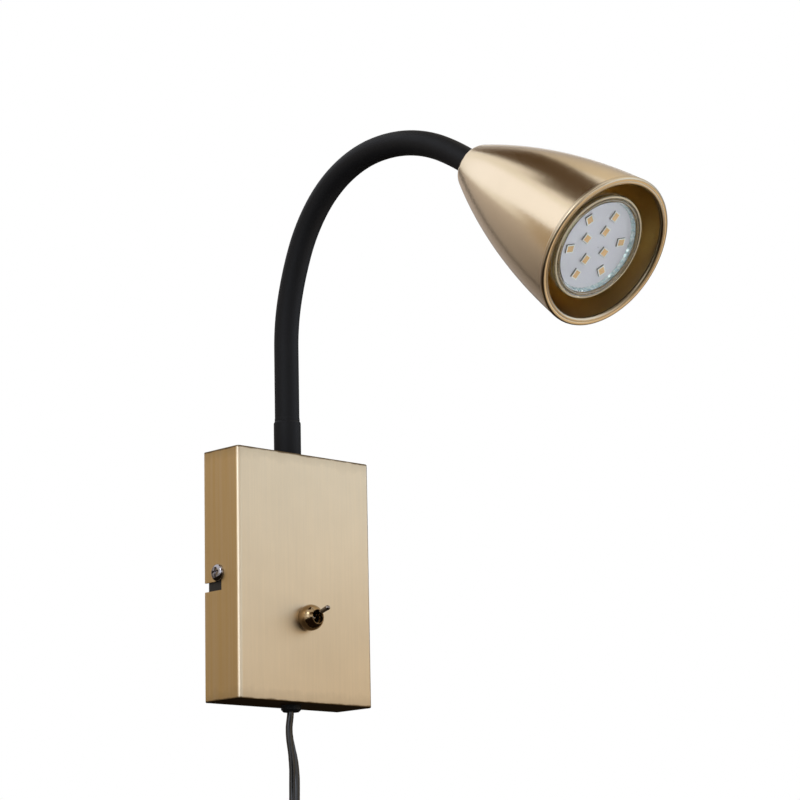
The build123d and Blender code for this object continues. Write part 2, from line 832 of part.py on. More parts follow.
coil_centre_y = cord_y - coil_outer_radius
layer_count = len(coil_layer_turns)
coil_turns = sum(coil_layer_turns) + 0.5 * (layer_count - 1)
quarter_count = round(4 * coil_turns)


def coil_state(quarter):
    """Radius, side shift and their rates per turn after a number of quarter turns."""
    passed, radius, shift, inward = 0.0, coil_outer_radius, 0.0, -1
    turns = quarter / 4
    for layer, layer_turns in enumerate(coil_layer_turns):
        last_layer = layer == layer_count - 1
        here = min(turns - passed, layer_turns)
        if here < layer_turns or last_layer:
            return radius + inward * coil_pitch * here, shift, inward * coil_pitch, 0.0
        radius += inward * coil_pitch * layer_turns
        passed += layer_turns
        crossing = turns - passed
        if crossing < 0.5:
            rate = inward * coil_pitch * (1 if crossing < 0.25 else -1)
            swing = inward * coil_pitch * min(crossing, 0.5 - crossing)
            side = coil_pitch * (1 - cos(2 * pi * crossing)) / 2
            side_rate = pi * coil_pitch * sin(2 * pi * crossing)
            return radius + swing, shift + side, 0.0 if crossing == 0.25 else rate, side_rate
        passed += 0.5
        shift += coil_pitch
        inward = -inward


def coil_point(quarter):
    """A point of the coil and the cord's direction there. Both ends point straight down."""
    radius, shift, radius_rate, shift_rate = coil_state(quarter)
    angle = quarter * pi / 2
    point = Vector(shift, coil_centre_y + radius * cos(angle), coil_centre_z - radius * sin(angle))
    outward = Vector(0, cos(angle), -sin(angle))
    onward = Vector(0, -sin(angle), -cos(angle))
    if quarter in (0, quarter_count):
        return point, onward
    direction = onward * (2 * pi * radius) + outward * radius_rate + Vector(shift_rate, 0, 0)
    return point, direction.normalized()


def biarc_joint(start, start_direction, end, end_direction):
    """Where two arcs meet that leave start and reach end in the given directions."""
    chord = end - start
    both = start_direction + end_direction
    spread = 2 * (1 - start_direction.dot(end_direction))
    across = chord.dot(both)
    handle = (sqrt(across**2 + spread * chord.dot(chord)) - across) / spread
    return (start + end + (start_direction - end_direction) * handle) * 0.5


coil_stations = [coil_point(quarter) for quarter in range(quarter_count + 1)]
coil_start, coil_start_direction = coil_stations[0]
coil_end, coil_end_direction = coil_stations[-1]
coil_head = coil_start - coil_start_direction * coil_lead_in
coil_tail = coil_end + coil_end_direction * coil_lead_in

with BuildPart() as cord_coil:
    with BuildLine() as coil_line:
        Line(coil_head, coil_start)
        for (start, start_direction), (end, end_direction) in zip(coil_stations, coil_stations[1:]):
            middle = biarc_joint(start, start_direction, end, end_direction)
            TangentArc(start, middle, tangent=start_direction)
            TangentArc(end, middle, tangent=-end_direction)
        Line(coil_end, coil_tail)
    with BuildSketch(Plane(origin=coil_head, x_dir=(1, 0, 0), z_dir=coil_start_direction)):
        RegularPolygon(cord_radius, cord_sides)
    sweep()
write(cord_coil, "cord_coil")


def least_self_gap(points, near_steps):
    """Least distance between points of a line that are further apart along it than near_steps."""
    least = 1e9
    for i, a in enumerate(points):
        for b in points[i + near_steps:]:
            least = min(least, hypot(a.X - b.X, a.Y - b.Y, a.Z - b.Z))
    return least


samples_per_quarter = 8
sample_count = samples_per_quarter * quarter_count + 1
coil_samples = [coil_point(step / samples_per_quarter)[0] for step in range(sample_count)]
coil_gap = least_self_gap(coil_samples, 2 * samples_per_quarter) - cord_diameter
print("coil least self gap", round(coil_gap, 2))
coil_length = coil_line.wire().length
print("coil length", round(coil_length), "cord length", round(cord_length + coil_length + cord_tail))

# Tie round the coil, at its front

bundle_inner = coil_outer_radius - coil_pitch * (max(coil_layer_turns) + 0.25) - cord_radius - slip
bundle_outer = coil_outer_radius + coil_pitch * 0.25 + cord_radius + slip
bundle_height = bundle_outer - bundle_inner
layer_shift = coil_pitch * (layer_count - 1)
bundle_side = layer_shift + cord_diameter + 2 * slip
tie_y = coil_centre_y - (bundle_inner + bundle_outer) / 2
tie_foot = Plane((layer_shift / 2, tie_y, coil_centre_z - tie_width / 2))

with BuildPart() as cord_tie:
    with BuildSketch(tie_foot):
        RectangleRounded(bundle_side, bundle_height, tie_corner)
        offset(amount=tie_thickness)
        RectangleRounded(bundle_side, bundle_height, tie_corner, mode=Mode.SUBTRACT)
    extrude(amount=tie_width)
write(cord_tie, "cord_tie")

# Tail of the cord and the flat two-pin plug that hangs on it

plug_top = coil_tail + Vector(0, 0, -cord_tail)
plug_plane = section_plane(plug_top, (1, 0, 0), (0, 0, -1))
plug_body_top = plug_sleeve_length
plug_face = plug_body_top + plug_length

with BuildPart() as cord_tail_run:
    with BuildSketch(Plane(origin=coil_tail, x_dir=(1, 0, 0), z_dir=(0, 0, -1))):
        RegularPolygon(cord_radius, cord_sides)
    extrude(amount=cord_tail)
write(cord_tail_run, "cord_tail")

with BuildPart() as plug_body:
    with BuildSketch(plug_plane) as plug_outline:
        with BuildLine():
            Polyline(
                (-plug_neck_width / 2, plug_body_top),
                (plug_neck_width / 2, plug_body_top),
                (plug_width / 2, plug_face - plug_shoulder),
                (plug_width / 2, plug_face),
                (-plug_width / 2, plug_face),
                (-plug_width / 2, plug_face - plug_shoulder),
                close=True,
            )
        make_face()
        fillet(plug_outline.vertices().group_by(Axis.Z)[1:], plug_corner)
    extrude(amount=plug_thickness / 2, both=True)
    fillet(plug_body.edges().group_by(Axis.Y)[0] + plug_body.edges().group_by(Axis.Y)[-1], plug_corner)
    with BuildSketch(plug_plane):
        with BuildLine():
            Polyline(
                (0, 0),
                (cord_radius + plug_sleeve_wall, 0),
                (plug_sleeve_diameter / 2, plug_sleeve_length + plug_sleeve_sunk),
                (0, plug_sleeve_length + plug_sleeve_sunk),
                close=True,
            )
        make_face()
    revolve(axis=Axis(plug_top, (0, 0, -1)))
write(plug_body, "plug_body")

with BuildPart() as plug_pins:
    with BuildSketch(Plane(origin=plug_top - Vector(0, 0, plug_face), z_dir=(0, 0, -1))):
        with GridLocations(plug_pin_spacing, 0, 2, 1):
            Circle(plug_pin_diameter / 2)
    extrude(amount=plug_pin_length)
    chamfer(plug_pins.edges().group_by(Axis.Z)[0], plug_pin_end)
write(plug_pins, "plug_pins")
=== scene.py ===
import json
from math import acos, cos, degrees, pi, radians, sin

import bpy
from bpy.props import FloatProperty, FloatVectorProperty, IntProperty, PointerProperty
from bpy.types import Operator, Panel, PropertyGroup
from mathutils import Matrix, Vector


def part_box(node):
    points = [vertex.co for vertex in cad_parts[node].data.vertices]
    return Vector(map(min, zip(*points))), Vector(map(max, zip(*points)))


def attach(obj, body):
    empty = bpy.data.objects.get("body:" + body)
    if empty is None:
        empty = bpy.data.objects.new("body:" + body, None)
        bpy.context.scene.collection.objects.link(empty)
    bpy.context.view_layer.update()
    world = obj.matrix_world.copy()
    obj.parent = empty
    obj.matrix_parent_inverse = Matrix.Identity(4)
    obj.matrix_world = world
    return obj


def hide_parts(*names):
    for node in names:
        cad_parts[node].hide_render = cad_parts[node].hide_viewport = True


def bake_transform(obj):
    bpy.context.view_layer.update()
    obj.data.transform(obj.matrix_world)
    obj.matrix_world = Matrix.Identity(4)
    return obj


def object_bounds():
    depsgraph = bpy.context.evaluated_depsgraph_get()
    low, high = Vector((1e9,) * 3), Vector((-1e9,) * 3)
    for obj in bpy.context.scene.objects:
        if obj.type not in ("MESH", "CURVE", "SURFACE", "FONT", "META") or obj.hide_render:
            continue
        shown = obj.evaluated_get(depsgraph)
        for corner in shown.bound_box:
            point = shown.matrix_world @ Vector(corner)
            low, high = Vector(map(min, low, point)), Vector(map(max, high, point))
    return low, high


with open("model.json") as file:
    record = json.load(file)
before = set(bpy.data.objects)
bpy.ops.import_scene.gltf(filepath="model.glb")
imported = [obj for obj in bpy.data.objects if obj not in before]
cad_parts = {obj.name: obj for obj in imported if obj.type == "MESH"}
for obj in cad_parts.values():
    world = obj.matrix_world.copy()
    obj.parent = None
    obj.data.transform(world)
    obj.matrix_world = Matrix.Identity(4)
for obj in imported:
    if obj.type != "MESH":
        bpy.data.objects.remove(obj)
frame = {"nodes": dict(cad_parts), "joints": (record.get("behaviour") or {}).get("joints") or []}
cad_box = [list(corner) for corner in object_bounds()]

bl_info = {
    "name": "Plug-in wall lamp",
    "version": (1, 0, 0),
    "blender": (4, 5, 0),
    "location": "View3D > Sidebar > Wall lamp",
    "description": "Dresses the wall lamp with its finishes, bendable neck, bulb, lead and studio",
    "category": "Object",
}

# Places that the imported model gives, in metres

MM = 0.001
joints = {joint["name"]: joint for joint in frame["joints"]}
neck_joints = [name for name in joints if name.startswith(("lean_", "nod_"))]
neck_points = [Vector(joints[name]["pos_m"]) for name in neck_joints]
head_origin = Vector(joints["bulb_twist"]["pos_m"])
head_along = Vector(joints["bulb_twist"]["axis"]).normalized()
head_across = Vector((0, 0, 1)).cross(head_along).normalized()
head_upright = head_along.cross(head_across)
head_frame = Matrix.Translation(head_origin) @ Matrix(
    (head_across, head_upright, head_along)
).transposed().to_4x4()
link_ends = [*neck_points[1:], head_origin]


def node_size(node):
    """Size of a node's box."""
    low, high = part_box(node)
    return high - low


def head_reach(node, pick):
    """Least or greatest distance of a node along the shade's axis, from the place of the bulb's joint."""
    return pick((v.co - head_origin).dot(head_along) for v in frame["nodes"][node].data.vertices)


def head_radius(node):
    """Greatest distance of a node from the shade's axis."""
    offsets = (v.co - head_origin for v in frame["nodes"][node].data.vertices)
    return max((offset - head_along * offset.dot(head_along)).length for offset in offsets)


# What a user may change


def color_choice(name, description, *rgb):
    """A colour that a user may change."""
    return FloatVectorProperty(
        name=name, description=description, subtype="COLOR", size=4, min=0, max=1, default=(*rgb, 1))


def length_choice(name, description, default):
    """A length that a user may change, in metres."""
    return FloatProperty(name=name, description=description, unit="LENGTH", default=default)


def angle_choice(name, description, turn):
    """An angle that a user may change, given here in degrees."""
    return FloatProperty(name=name, description=description, subtype="ANGLE", default=radians(turn))


def power_choice(name, description, default):
    """A lamp's power that a user may change, in watts."""
    return FloatProperty(name=name, description=description, unit="POWER", default=default, min=0)


class LampFinishes(PropertyGroup):
    """Colours of the lamp's finishes."""

    brass: color_choice("Satin brass", "Brushed sheet of the box and the shade", 0.80, 0.655, 0.455)
    # Painted light: a paler brass that brightens the inside of the shade
    inside_lit_brass: color_choice("Shade inside", "Unpolished brass inside the shade", 0.98, 0.81, 0.48)
    # Painted shade: a darker, warmer tone laid on the sides of the box
    side_shade: color_choice("Honey brass", "Warmer brass on the sides of the box", 0.665, 0.462, 0.212)
    # Painted highlight: a paler colour laid along the folds of the box
    fold_highlight: color_choice("Worn edge", "Brass rubbed bright along the folds of the box", 0.84, 0.71, 0.52)
    # Painted shade with darkened brass along edges of the box; on the lip it is painted shade
    patina_and_shade: color_choice("Patina", "Darkened brass along edges of the box and the lip", 0.13, 0.085, 0.04)
    polished: color_choice("Polished brass", "Ball nut of the switch", 0.36, 0.25, 0.135)
    nickel: color_choice("Nickel", "Screws and plug pins", 0.35, 0.325, 0.33)
    lever: color_choice("Lever", "Dark plated lever of the switch", 0.27, 0.235, 0.21)
    steel: color_choice("Zinc steel", "Nuts, washers and the core of the neck", 0.50, 0.50, 0.51)
    neck: color_choice("Neck sleeve", "Matt black sleeve of the neck", 0.006, 0.006, 0.007)
    enamel: color_choice("Black enamel", "Paint on the wall bracket", 0.012, 0.012, 0.012)
    plastic: color_choice("Black plastic", "Cord bushing, switch body and plug", 0.006, 0.006, 0.0065)
    vinyl: color_choice("Cord vinyl", "Glossy black cover of the cord", 0.005, 0.005, 0.0055)
    ceramic: color_choice("Ceramic", "Lamp holder", 0.78, 0.76, 0.71)
    nylon: color_choice("Natural nylon", "Wiring block", 0.74, 0.73, 0.69)
    glass: color_choice("Glass", "Front glass of the bulb", 0.93, 0.97, 0.97)
    # Painted reflection: the clear glass of the cup takes a gold tint
    cup_glass_reflection_tint: color_choice("Cup glass", "Moulded glass cup of the bulb", 0.98, 0.87, 0.62)
    # Painted reflection: an opaque brownish-gold band on the rim of the cup
    rim_painted_reflection: color_choice("Ground edge", "Ground band on the rim of the cup", 0.48, 0.40, 0.27)
    facets: color_choice("Pressed glass", "Faceted edge behind the front glass", 0.52, 0.80, 0.87)
    # Painted glints on the faceted edge
    facet_glint: color_choice("Facet glint", "Bright patches of the faceted edge", 0.94, 0.98, 0.98)
    board: color_choice("Chip board", "Lacquered board of the light chips", 0.74, 0.71, 0.80)
    chip_frame: color_choice("Chip frame", "White frame of a light chip", 0.93, 0.92, 0.90)
    phosphor: color_choice("Phosphor", "Yellow window of a light chip", 0.86, 0.47, 0.14)


class LampSizes(PropertyGroup):
    """Sizes of the pieces that are modelled here."""

    sleeve_radius: length_choice(
        "Sleeve radius", "Outside radius of the neck", node_size("neck_sleeve_1").x / 2)
    sleeve_wall: length_choice("Sleeve wall", "Wall of the neck's sleeve", 1.2 * MM)
    cord_width: length_choice("Cord width", "Width of the flat twin cord", 5.2 * MM)
    cord_thickness: length_choice("Cord thickness", "Thickness of the flat twin cord", 3.0 * MM)
    lip_width: length_choice("Lip width", "Width of the shade's rolled lip", 3.6 * MM)
    lip_thickness: length_choice("Lip thickness", "Thickness of the shade's rolled lip", 2.6 * MM)
    rim_width: length_choice("Bulb rim", "Width of the bulb's glass rim", 3.0 * MM)
    facet_count: IntProperty(
        name="Facets", description="Facets round the glass behind the front", default=52, min=8)
    chip_length: length_choice("Chip length", "Longer side of a light chip", 4.4 * MM)
    chip_width: length_choice("Chip width", "Shorter side of a light chip", 3.9 * MM)
    chip_height: length_choice("Chip height", "Height of a light chip", 0.85 * MM)


class LampStudio(PropertyGroup):
    """Camera and light of the studio."""

    lens: FloatProperty(
        name="Lens", description="Focal length on a 36 mm sensor", unit="CAMERA", default=122.13)
    yaw: angle_choice("Yaw", "Turn of the camera from facing the wall", 43.72)
    pitch: angle_choice("Pitch", "Upward tilt of the camera", 12.18)
    roll: angle_choice("Roll", "Turn of the camera about its view", -1.194)
    place: FloatVectorProperty(
        name="Camera place", description="Where the camera stands", unit="LENGTH", size=3,
        default=(-0.8555, -0.9871, -0.1917))
    ambient: FloatProperty(
        name="Ambient", description="Even light on matt surfaces", default=0.55, min=0)
    key_power: power_choice("Key power", "Power of the large lamp in front", 9.0)
    fill_power: power_choice("Fill power", "Power of the lamp on the other side", 4.0)
    side_power: power_choice("Side power", "Power of the small lamp on the right", 8.0)


# Mesh helpers


def clamp(number):
    """A number kept between 0 and 1."""
    return min(max(number, 0.0), 1.0)


def arc_points(centre, radius, start, end, steps):
    """Points of an arc from one angle to another, in degrees."""
    turns = (radians(start + (end - start) * step / steps) for step in range(steps + 1))
    return [(centre[0] + radius * cos(turn), centre[1] + radius * sin(turn)) for turn in turns]


def circle_points(radius, around):
    """Points round a circle about the origin."""
    turns = (2 * pi * step / around for step in range(around))
    return [(radius * cos(turn), radius * sin(turn)) for turn in turns]


def closed_rings(count, around, first=0, wrap=False):
    """Quads between rings of points, each closed on itself. With wrap, the last ring joins the first."""
    faces = []
    for ring in range(count if wrap else count - 1):
        here, there = first + ring * around, first + (ring + 1) % count * around
        for step in range(around):
            follow = (step + 1) % around
            faces.append((here + step, here + follow, there + follow, there + step))
    return faces


def add_piece(name, verts, faces, finishes, sharp_angle=35.0):
    """A shaded mesh object made from lists of points and faces."""
    mesh = bpy.data.meshes.new(name)
    mesh.from_pydata([tuple(v) for v in verts], [], faces)
    mesh.validate()
    for polygon in mesh.polygons:
        polygon.use_smooth = True
    mesh.set_sharp_from_angle(angle=radians(sharp_angle))
    for finish in finishes:
        mesh.materials.append(finish.material)
    piece = bpy.data.objects.new(name, mesh)
    bpy.context.scene.collection.objects.link(piece)
    return piece


def lathe(name, profile, place, finishes, around):
    """A closed ring turned from a closed profile of (radius, height) points."""
    verts = [
        place @ Vector((x, y, height))
        for radius, height in profile for x, y in circle_points(radius, around)]
    return add_piece(name, verts, closed_rings(len(profile), around, wrap=True), finishes)


def give(finish, *nodes):
    """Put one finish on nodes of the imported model."""
    for node in nodes:
        slots = frame["nodes"][node].data.materials
        slots.clear()
        slots.append(finish.material)


# Shader helpers


def add_node(tree, kind, **settings):
    """A new shader node with some of its settings."""
    node = tree.nodes.new(kind)
    for name, value in settings.items():
        setattr(node, name, value)
    return node


def feed(node, inputs):
    """Give a node's inputs, by name or number, plain values or links to values that vary."""
    for key, value in inputs.items():
        if isinstance(value, Value):
            node.id_data.links.new(value.socket, node.inputs[key])
        else:
            node.inputs[key].default_value = value
    return node


class Value:
    """A number, vector or colour that varies over a surface. Sums with it add nodes to its shader tree."""

    def __init__(self, socket):
        self.socket = socket

    def node(self, kind, inputs, output=0, **settings):
        """The value that a new node works out from its inputs."""
        node = add_node(self.socket.id_data, kind, **settings)
        return Value(feed(node, inputs).outputs[output])

    def math(self, operation, first, second=0.0):
        return self.node("ShaderNodeMath", {0: first, 1: second}, operation=operation)

    def __add__(self, other):
        return self.math("ADD", self, other)

    def __sub__(self, other):
        return self.math("SUBTRACT", self, other)

    def __rsub__(self, other):
        return self.math("SUBTRACT", other, self)

    def __mul__(self, other):
        return self.math("MULTIPLY", self, other)

    def __truediv__(self, other):
        return self.math("DIVIDE", self, other)

    def __abs__(self):
        return self.math("ABSOLUTE", self)

    def root(self):
        return self.math("SQRT", self)

    def at_least(self, other):
        return self.math("MAXIMUM", self, other)

    def at_most(self, other):
        return self.math("MINIMUM", self, other)

    def below(self, other):
        """1 where the number is less than another, and 0 elsewhere."""
        return self.math("LESS_THAN", self, other)

    def spread(self, low, high):
        """A number from 0 to 1 spread over another range."""
        return self.node("ShaderNodeMapRange", {"Value": self, "To Min": low, "To Max": high})

    def ease(self, start, end):
        """A smooth step, 0 at the first number and 1 at the second."""
        inputs = {"Value": self, "From Min": start, "From Max": end}
        return self.node("ShaderNodeMapRange", inputs, interpolation_type="SMOOTHSTEP")

    def mix(self, first, second):
        """The colour at this share of the way from one to another. A Mix node's colours go by number."""
        return self.node("ShaderNodeMix", {0: self, 6: first, 7: second}, output=2, data_type="RGBA")

    def dot(self, axis):
        """How far a vector reaches along an axis."""
        return self.node("ShaderNodeVectorMath", {0: self, 1: axis}, output="Value", operation="DOT_PRODUCT")

    def parts(self):
        """The x, y and z of a vector."""
        node = feed(add_node(self.socket.id_data, "ShaderNodeSeparateXYZ"), {0: self})
        return [Value(output) for output in node.outputs]

    def noise(self, scale, detail, roughness=0.5):
        """Noise at the places that a vector gives."""
        inputs = {"Vector": self, "Scale": scale, "Detail": detail, "Roughness": roughness}
        return self.node("ShaderNodeTexNoise", inputs, output="Fac")


def new_group(name, kind, setting, default, result):
    """A shader node group that takes a vector and one setting, and puts out one number."""
    group = bpy.data.node_groups.new(name, "ShaderNodeTree")
    group.interface.new_socket("Vector", in_out="INPUT", socket_type="NodeSocketVector")
    group.interface.new_socket(setting, in_out="INPUT", socket_type=kind).default_value = default
    group.interface.new_socket(result, in_out="OUTPUT", socket_type="NodeSocketFloat")
    entry, leave = group.nodes.new("NodeGroupInput"), group.nodes.new("NodeGroupOutput")
    return group, Value(entry.outputs["Vector"]), Value(entry.outputs[setting]), leave


def brushed_lines_group():
    """Fine lines from a brush, drawn out along one axis of the incoming vector."""
    group, vector, stretch, leave = new_group(
        "Brushed lines", "NodeSocketVector", "Stretch", (4000.0, 4000.0, 60.0), "Lines")
    scaled = vector.node("ShaderNodeVectorMath", {0: vector, 1: stretch}, operation="MULTIPLY")
    feed(leave, {"Lines": scaled.noise(1.0, 5.0, 0.65)})
    return group


def clouding_group():
    """Soft uneven patches, as lacquer and handling leave on a surface."""
    group, vector, patch, leave = new_group("Clouding", "NodeSocketFloat", "Patch", 40.0, "Clouds")
    feed(leave, {"Clouds": vector.noise(patch, 3.0, 0.55)})
    return group


def moulded_grain_group():
    """The fine pebbled grain of moulded plastic, rubber and cast ceramic."""
    group, vector, grain, leave = new_group("Moulded grain", "NodeSocketFloat", "Grain", 2600.0, "Height")
    cells = vector.node(
        "ShaderNodeTexVoronoi", {"Vector": vector, "Scale": grain}, output="Distance", feature="SMOOTH_F1")
    feed(leave, {"Height": (cells + vector.noise(grain, 2.0)) * 0.5})
    return group


effects = {
    "Brushed lines": brushed_lines_group, "Clouding": clouding_group, "Moulded grain": moulded_grain_group}


class Finish:
    """A material under construction: its tree, its Principled BSDF and the object's own coordinates."""

    def __init__(self, name):
        self.material = bpy.data.materials.new(name)
        self.material.use_nodes = True
        self.tree = self.material.node_tree
        self.shader = self.tree.nodes["Principled BSDF"]
        coordinates = add_node(self.tree, "ShaderNodeTexCoord")
        self.place = Value(coordinates.outputs["Object"])
        self.normal = Value(coordinates.outputs["Normal"])

    def set(self, **values):
        """Feed the shader's own sockets, named with underscores for spaces."""
        feed(self.shader, {name.replace("_", " "): value for name, value in values.items()})
        return self

    def present(self, socket):
        """The value that feeds one of the shader's sockets so far."""
        return Value(self.shader.inputs[socket].links[0].from_socket)

    def tint(self, share, color):
        """Lay a colour over the present one, by a share from 0 to 1."""
        self.set(Base_Color=share.mix(self.present("Base Color"), color))

    def effect(self, name, vector=None, **settings):
        """The output of a shared group, which is built the first time it is asked for."""
        group = bpy.data.node_groups.get(name) or effects[name]()
        node = add_node(self.tree, "ShaderNodeGroup", node_tree=group)
        return Value(feed(node, {"Vector": vector or self.place, **settings}).outputs[0])

    def bump(self, height, depth):
        """Raise the surface by a height map, over a depth in metres."""
        self.set(Normal=height.node("ShaderNodeBump", {"Height": height, "Distance": depth}))


# Finishes that more than one piece uses


def darker(color, share):
    """A colour at a share of its brightness."""
    return (color[0] * share, color[1] * share, color[2] * share, 1.0)


def brushed_metal(finish, color, stretch, roughness, vector=None, depth=0.90):
    """Satin metal with brush lines. roughness is its least and greatest value, depth the tone of a line."""
    lines = finish.effect("Brushed lines", vector, Stretch=stretch)
    tone = ((lines + finish.effect("Clouding", Patch=28.0)) * 0.5).spread(-0.35, 1.35)
    finish.set(Base_Color=tone.mix(darker(color, depth), color), Roughness=lines.spread(*roughness))
    finish.bump(lines, 0.004 * MM)
    return finish.set(Metallic=1.0)


def plain_metal(name, color, roughness):
    """Plated metal with slightly clouded gloss."""
    finish = Finish(name)
    clouds = finish.effect("Clouding", Patch=160.0)
    finish.set(Base_Color=clouds.mix(darker(color, 0.88), color), Roughness=clouds.spread(*roughness))
    return finish.set(Metallic=1.0)


def moulded(name, color, roughness, grain=2600.0, depth=0.02 * MM):
    """Plastic, rubber or ceramic with a moulded grain."""
    finish = Finish(name)
    clouds = finish.effect("Clouding", Patch=55.0)
    finish.set(Base_Color=clouds.mix(darker(color, 0.8), color), Roughness=clouds.spread(*roughness))
    finish.bump(finish.effect("Moulded grain", Grain=grain), depth)
    return finish


# The box


def make_screws(nickel):
    """Two screws with domed heads and a cross recess, one in each side of the cover."""
    low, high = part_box("cover_screws")
    middle = (low + high) / 2
    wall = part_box("wall_cover")[1].x
    radius, height = (high.z - low.z) / 2, high.x - wall
    edge, shank, length = 0.7 * MM, 1.95 * MM, 8.0 * MM
    arm, span, slope, sink = 0.45 * MM, 2.2 * MM, 0.25 * MM, 1.3 * MM
    around, domes = 64, 18
    flatness, fullness = 2.5, 0.6
    profile = [(shank, -length), (shank, 0.0), (radius, 0.0), (radius, edge)]
    for step in range(1, domes):
        reach = 1 - step / domes
        profile.append((radius * reach, edge + (height - edge) * (1 - reach ** flatness) ** fullness))
    verts, faces = [], []
    for side in (-1, 1):
        place = Matrix((
            (0, 0, side, side * wall), (1, 0, 0, middle.y), (0, side, 0, middle.z), (0, 0, 0, 1)))
        first = len(verts)
        for reach, rise in profile:
            for x, y in circle_points(reach, around):
                across, along = sorted((abs(x), abs(y)))
                cut = clamp((arm + slope - across) / slope) * clamp((span + slope - along) / slope)
                verts.append(place @ Vector((x, y, rise - (sink * cut if rise > 0 else 0))))
        faces += closed_rings(len(profile), around, first)
        verts += [place @ Vector((0, 0, -length)), place @ Vector((0, 0, height - sink))]
        back, front = len(verts) - 2, len(verts) - 1
        last = first + (len(profile) - 1) * around
        for step in range(around):
            follow = (step + 1) % around
            faces += [(first + follow, first + step, back), (last + step, last + follow, front)]
    screws = add_piece("screws", verts, faces, [nickel], sharp_angle=40)
    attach(screws, "base")
    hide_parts("cover_screws")


def paint_sides_and_folds(finish, side_shade, fold_highlight):
    """Painted shade: a darker, warmer tone in upright streaks on the folded sides of the cover. Painted
    highlight: a paler colour along the folds, which are also made glossier.
    """
    sideways, forward = (abs(part) for part in finish.normal.parts()[:2])
    # Only a face that is turned nearly square to the side takes the painted shade
    side = sideways.spread(-4.0, 1.05).at_least(0.0)
    streaks = finish.effect("Brushed lines", Stretch=(500.0, 420.0, 7.0)).spread(0.35, 1.35)
    finish.tint((side * streaks).at_most(1.0), side_shade)
    # Painted highlight along the folds: the paler colour, with less roughness
    highlight_share, fold_gloss = (sideways * forward).spread(0.0, 1.3), 0.26
    finish.tint(highlight_share, fold_highlight)
    finish.set(Roughness=finish.present("Roughness") - highlight_share * fold_gloss)


def darken_edges(finish, patina_and_shade):
    """Painted shade with darkened brass: a thin broken brown line along the cover's top and bottom edges,
    with a haze beside it.
    """
    low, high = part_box("wall_cover")
    offset = abs(finish.place.parts()[2] - (low.z + high.z) / 2)
    line_width = finish.effect("Clouding", Patch=190.0).spread(0.3 * MM, 2.2 * MM)
    share = ((high.z - low.z) / 2 - offset) / line_width
    haze_fade, haze_strength = 0.2, 0.22
    haze = (1.0 - (share * haze_fade).at_most(1.0)) * haze_strength
    # Painted shade: the line and the haze beside it darken the edges as colour
    finish.tint(share.ease(1.1, 0.3).at_least(haze), patina_and_shade)


class LAMP_OT_box(Operator):
    """Finish the folded cover and its bracket, and make the screws"""

    bl_idname = "lamp.box"
    bl_label = "Wall box"

    def execute(self, context):
        colors = context.scene.lamp_finishes
        brass = Finish("box_brass")
        brushed_metal(brass, colors.brass, (900.0, 1100.0, 30.0), (0.42, 0.54), depth=0.82)
        paint_sides_and_folds(brass, colors.side_shade, colors.fold_highlight)
        darken_edges(brass, colors.patina_and_shade)
        give(brass, "wall_cover")
        give(moulded("black_enamel", colors.enamel, (0.35, 0.5), 1800.0), "wall_bracket")
        make_screws(plain_metal("nickel", colors.nickel, (0.08, 0.15)))
        return {"FINISHED"}


# The switch and the pieces inside


class LAMP_OT_switch(Operator):
    """Finish the toggle switch"""

    bl_idname = "lamp.switch"
    bl_label = "Switch"

    def execute(self, context):
        colors = context.scene.lamp_finishes
        give(plain_metal("polished_brass", colors.polished, (0.10, 0.16)), "switch_ball_nut")
        give(plain_metal("dark_nickel", colors.lever, (0.06, 0.12)), "switch_lever")
        # Painted shade: the bushing, seen in the ball nut's mouth, is nickel at 0.07 of its brightness
        give(plain_metal("bore_painted_shade", darker(colors.nickel, 0.07), (0.35, 0.5)), "switch_bushing")
        give(moulded("switch_plastic", colors.plastic, (0.4, 0.55)), "switch_body")
        return {"FINISHED"}


class LAMP_OT_hardware(Operator):
    """Finish the pieces inside the box and the head"""

    bl_idname = "lamp.hardware"
    bl_label = "Inner hardware"

    def execute(self, context):
        colors = context.scene.lamp_finishes
        give(
            plain_metal("zinc_steel", colors.steel, (0.28, 0.42)),
            "switch_washer", "switch_back_nut", "switch_terminals", "neck_fitting", "neck_washer",
            "neck_nut", "head_washer", "head_nut", "holder_plate", "holder_nut", "holder_screws",
            "bulb_pins", *(f"neck_core_{number + 1}" for number in range(len(neck_joints))))
        give(moulded("ceramic", colors.ceramic, (0.45, 0.6), 900.0), "lamp_holder")
        give(moulded("nylon", colors.nylon, (0.35, 0.5), 1500.0), "wiring_block")
        return {"FINISHED"}


# The neck


def neck_headings():
    """Direction of the neck at each bend. A link is an arc, so its chord halves the turn along it."""
    headings = [Vector((0, 0, 1))]
    for start, end in zip(neck_points, link_ends):
        chord = (end - start).normalized()
        headings.append((2 * chord.dot(headings[-1]) * chord - headings[-1]).normalized())
    return headings


def arc_walk(start, start_direction, end, share):
    """Point and direction at a share of the arc that leaves start and ends at end."""
    chord = end - start
    half_turn = start_direction.angle(chord, 0.0)
    straight = 1e-4
    if half_turn < straight:
        return start + chord * share, chord.normalized()
    axis = start_direction.cross(chord).normalized()
    length = chord.length * sin(half_turn * share) / sin(half_turn)
    step = Matrix.Rotation(half_turn * share, 3, axis) @ start_direction
    return start + step * length, Matrix.Rotation(2 * half_turn * share, 3, axis) @ start_direction


def link_walk(number, heading, first, last, steps=10):
    """Points and directions along one link of the neck, from one share of its arc to another."""
    shares = (first + (last - first) * step / steps for step in range(steps + 1))
    return [arc_walk(neck_points[number], heading, link_ends[number], share) for share in shares]


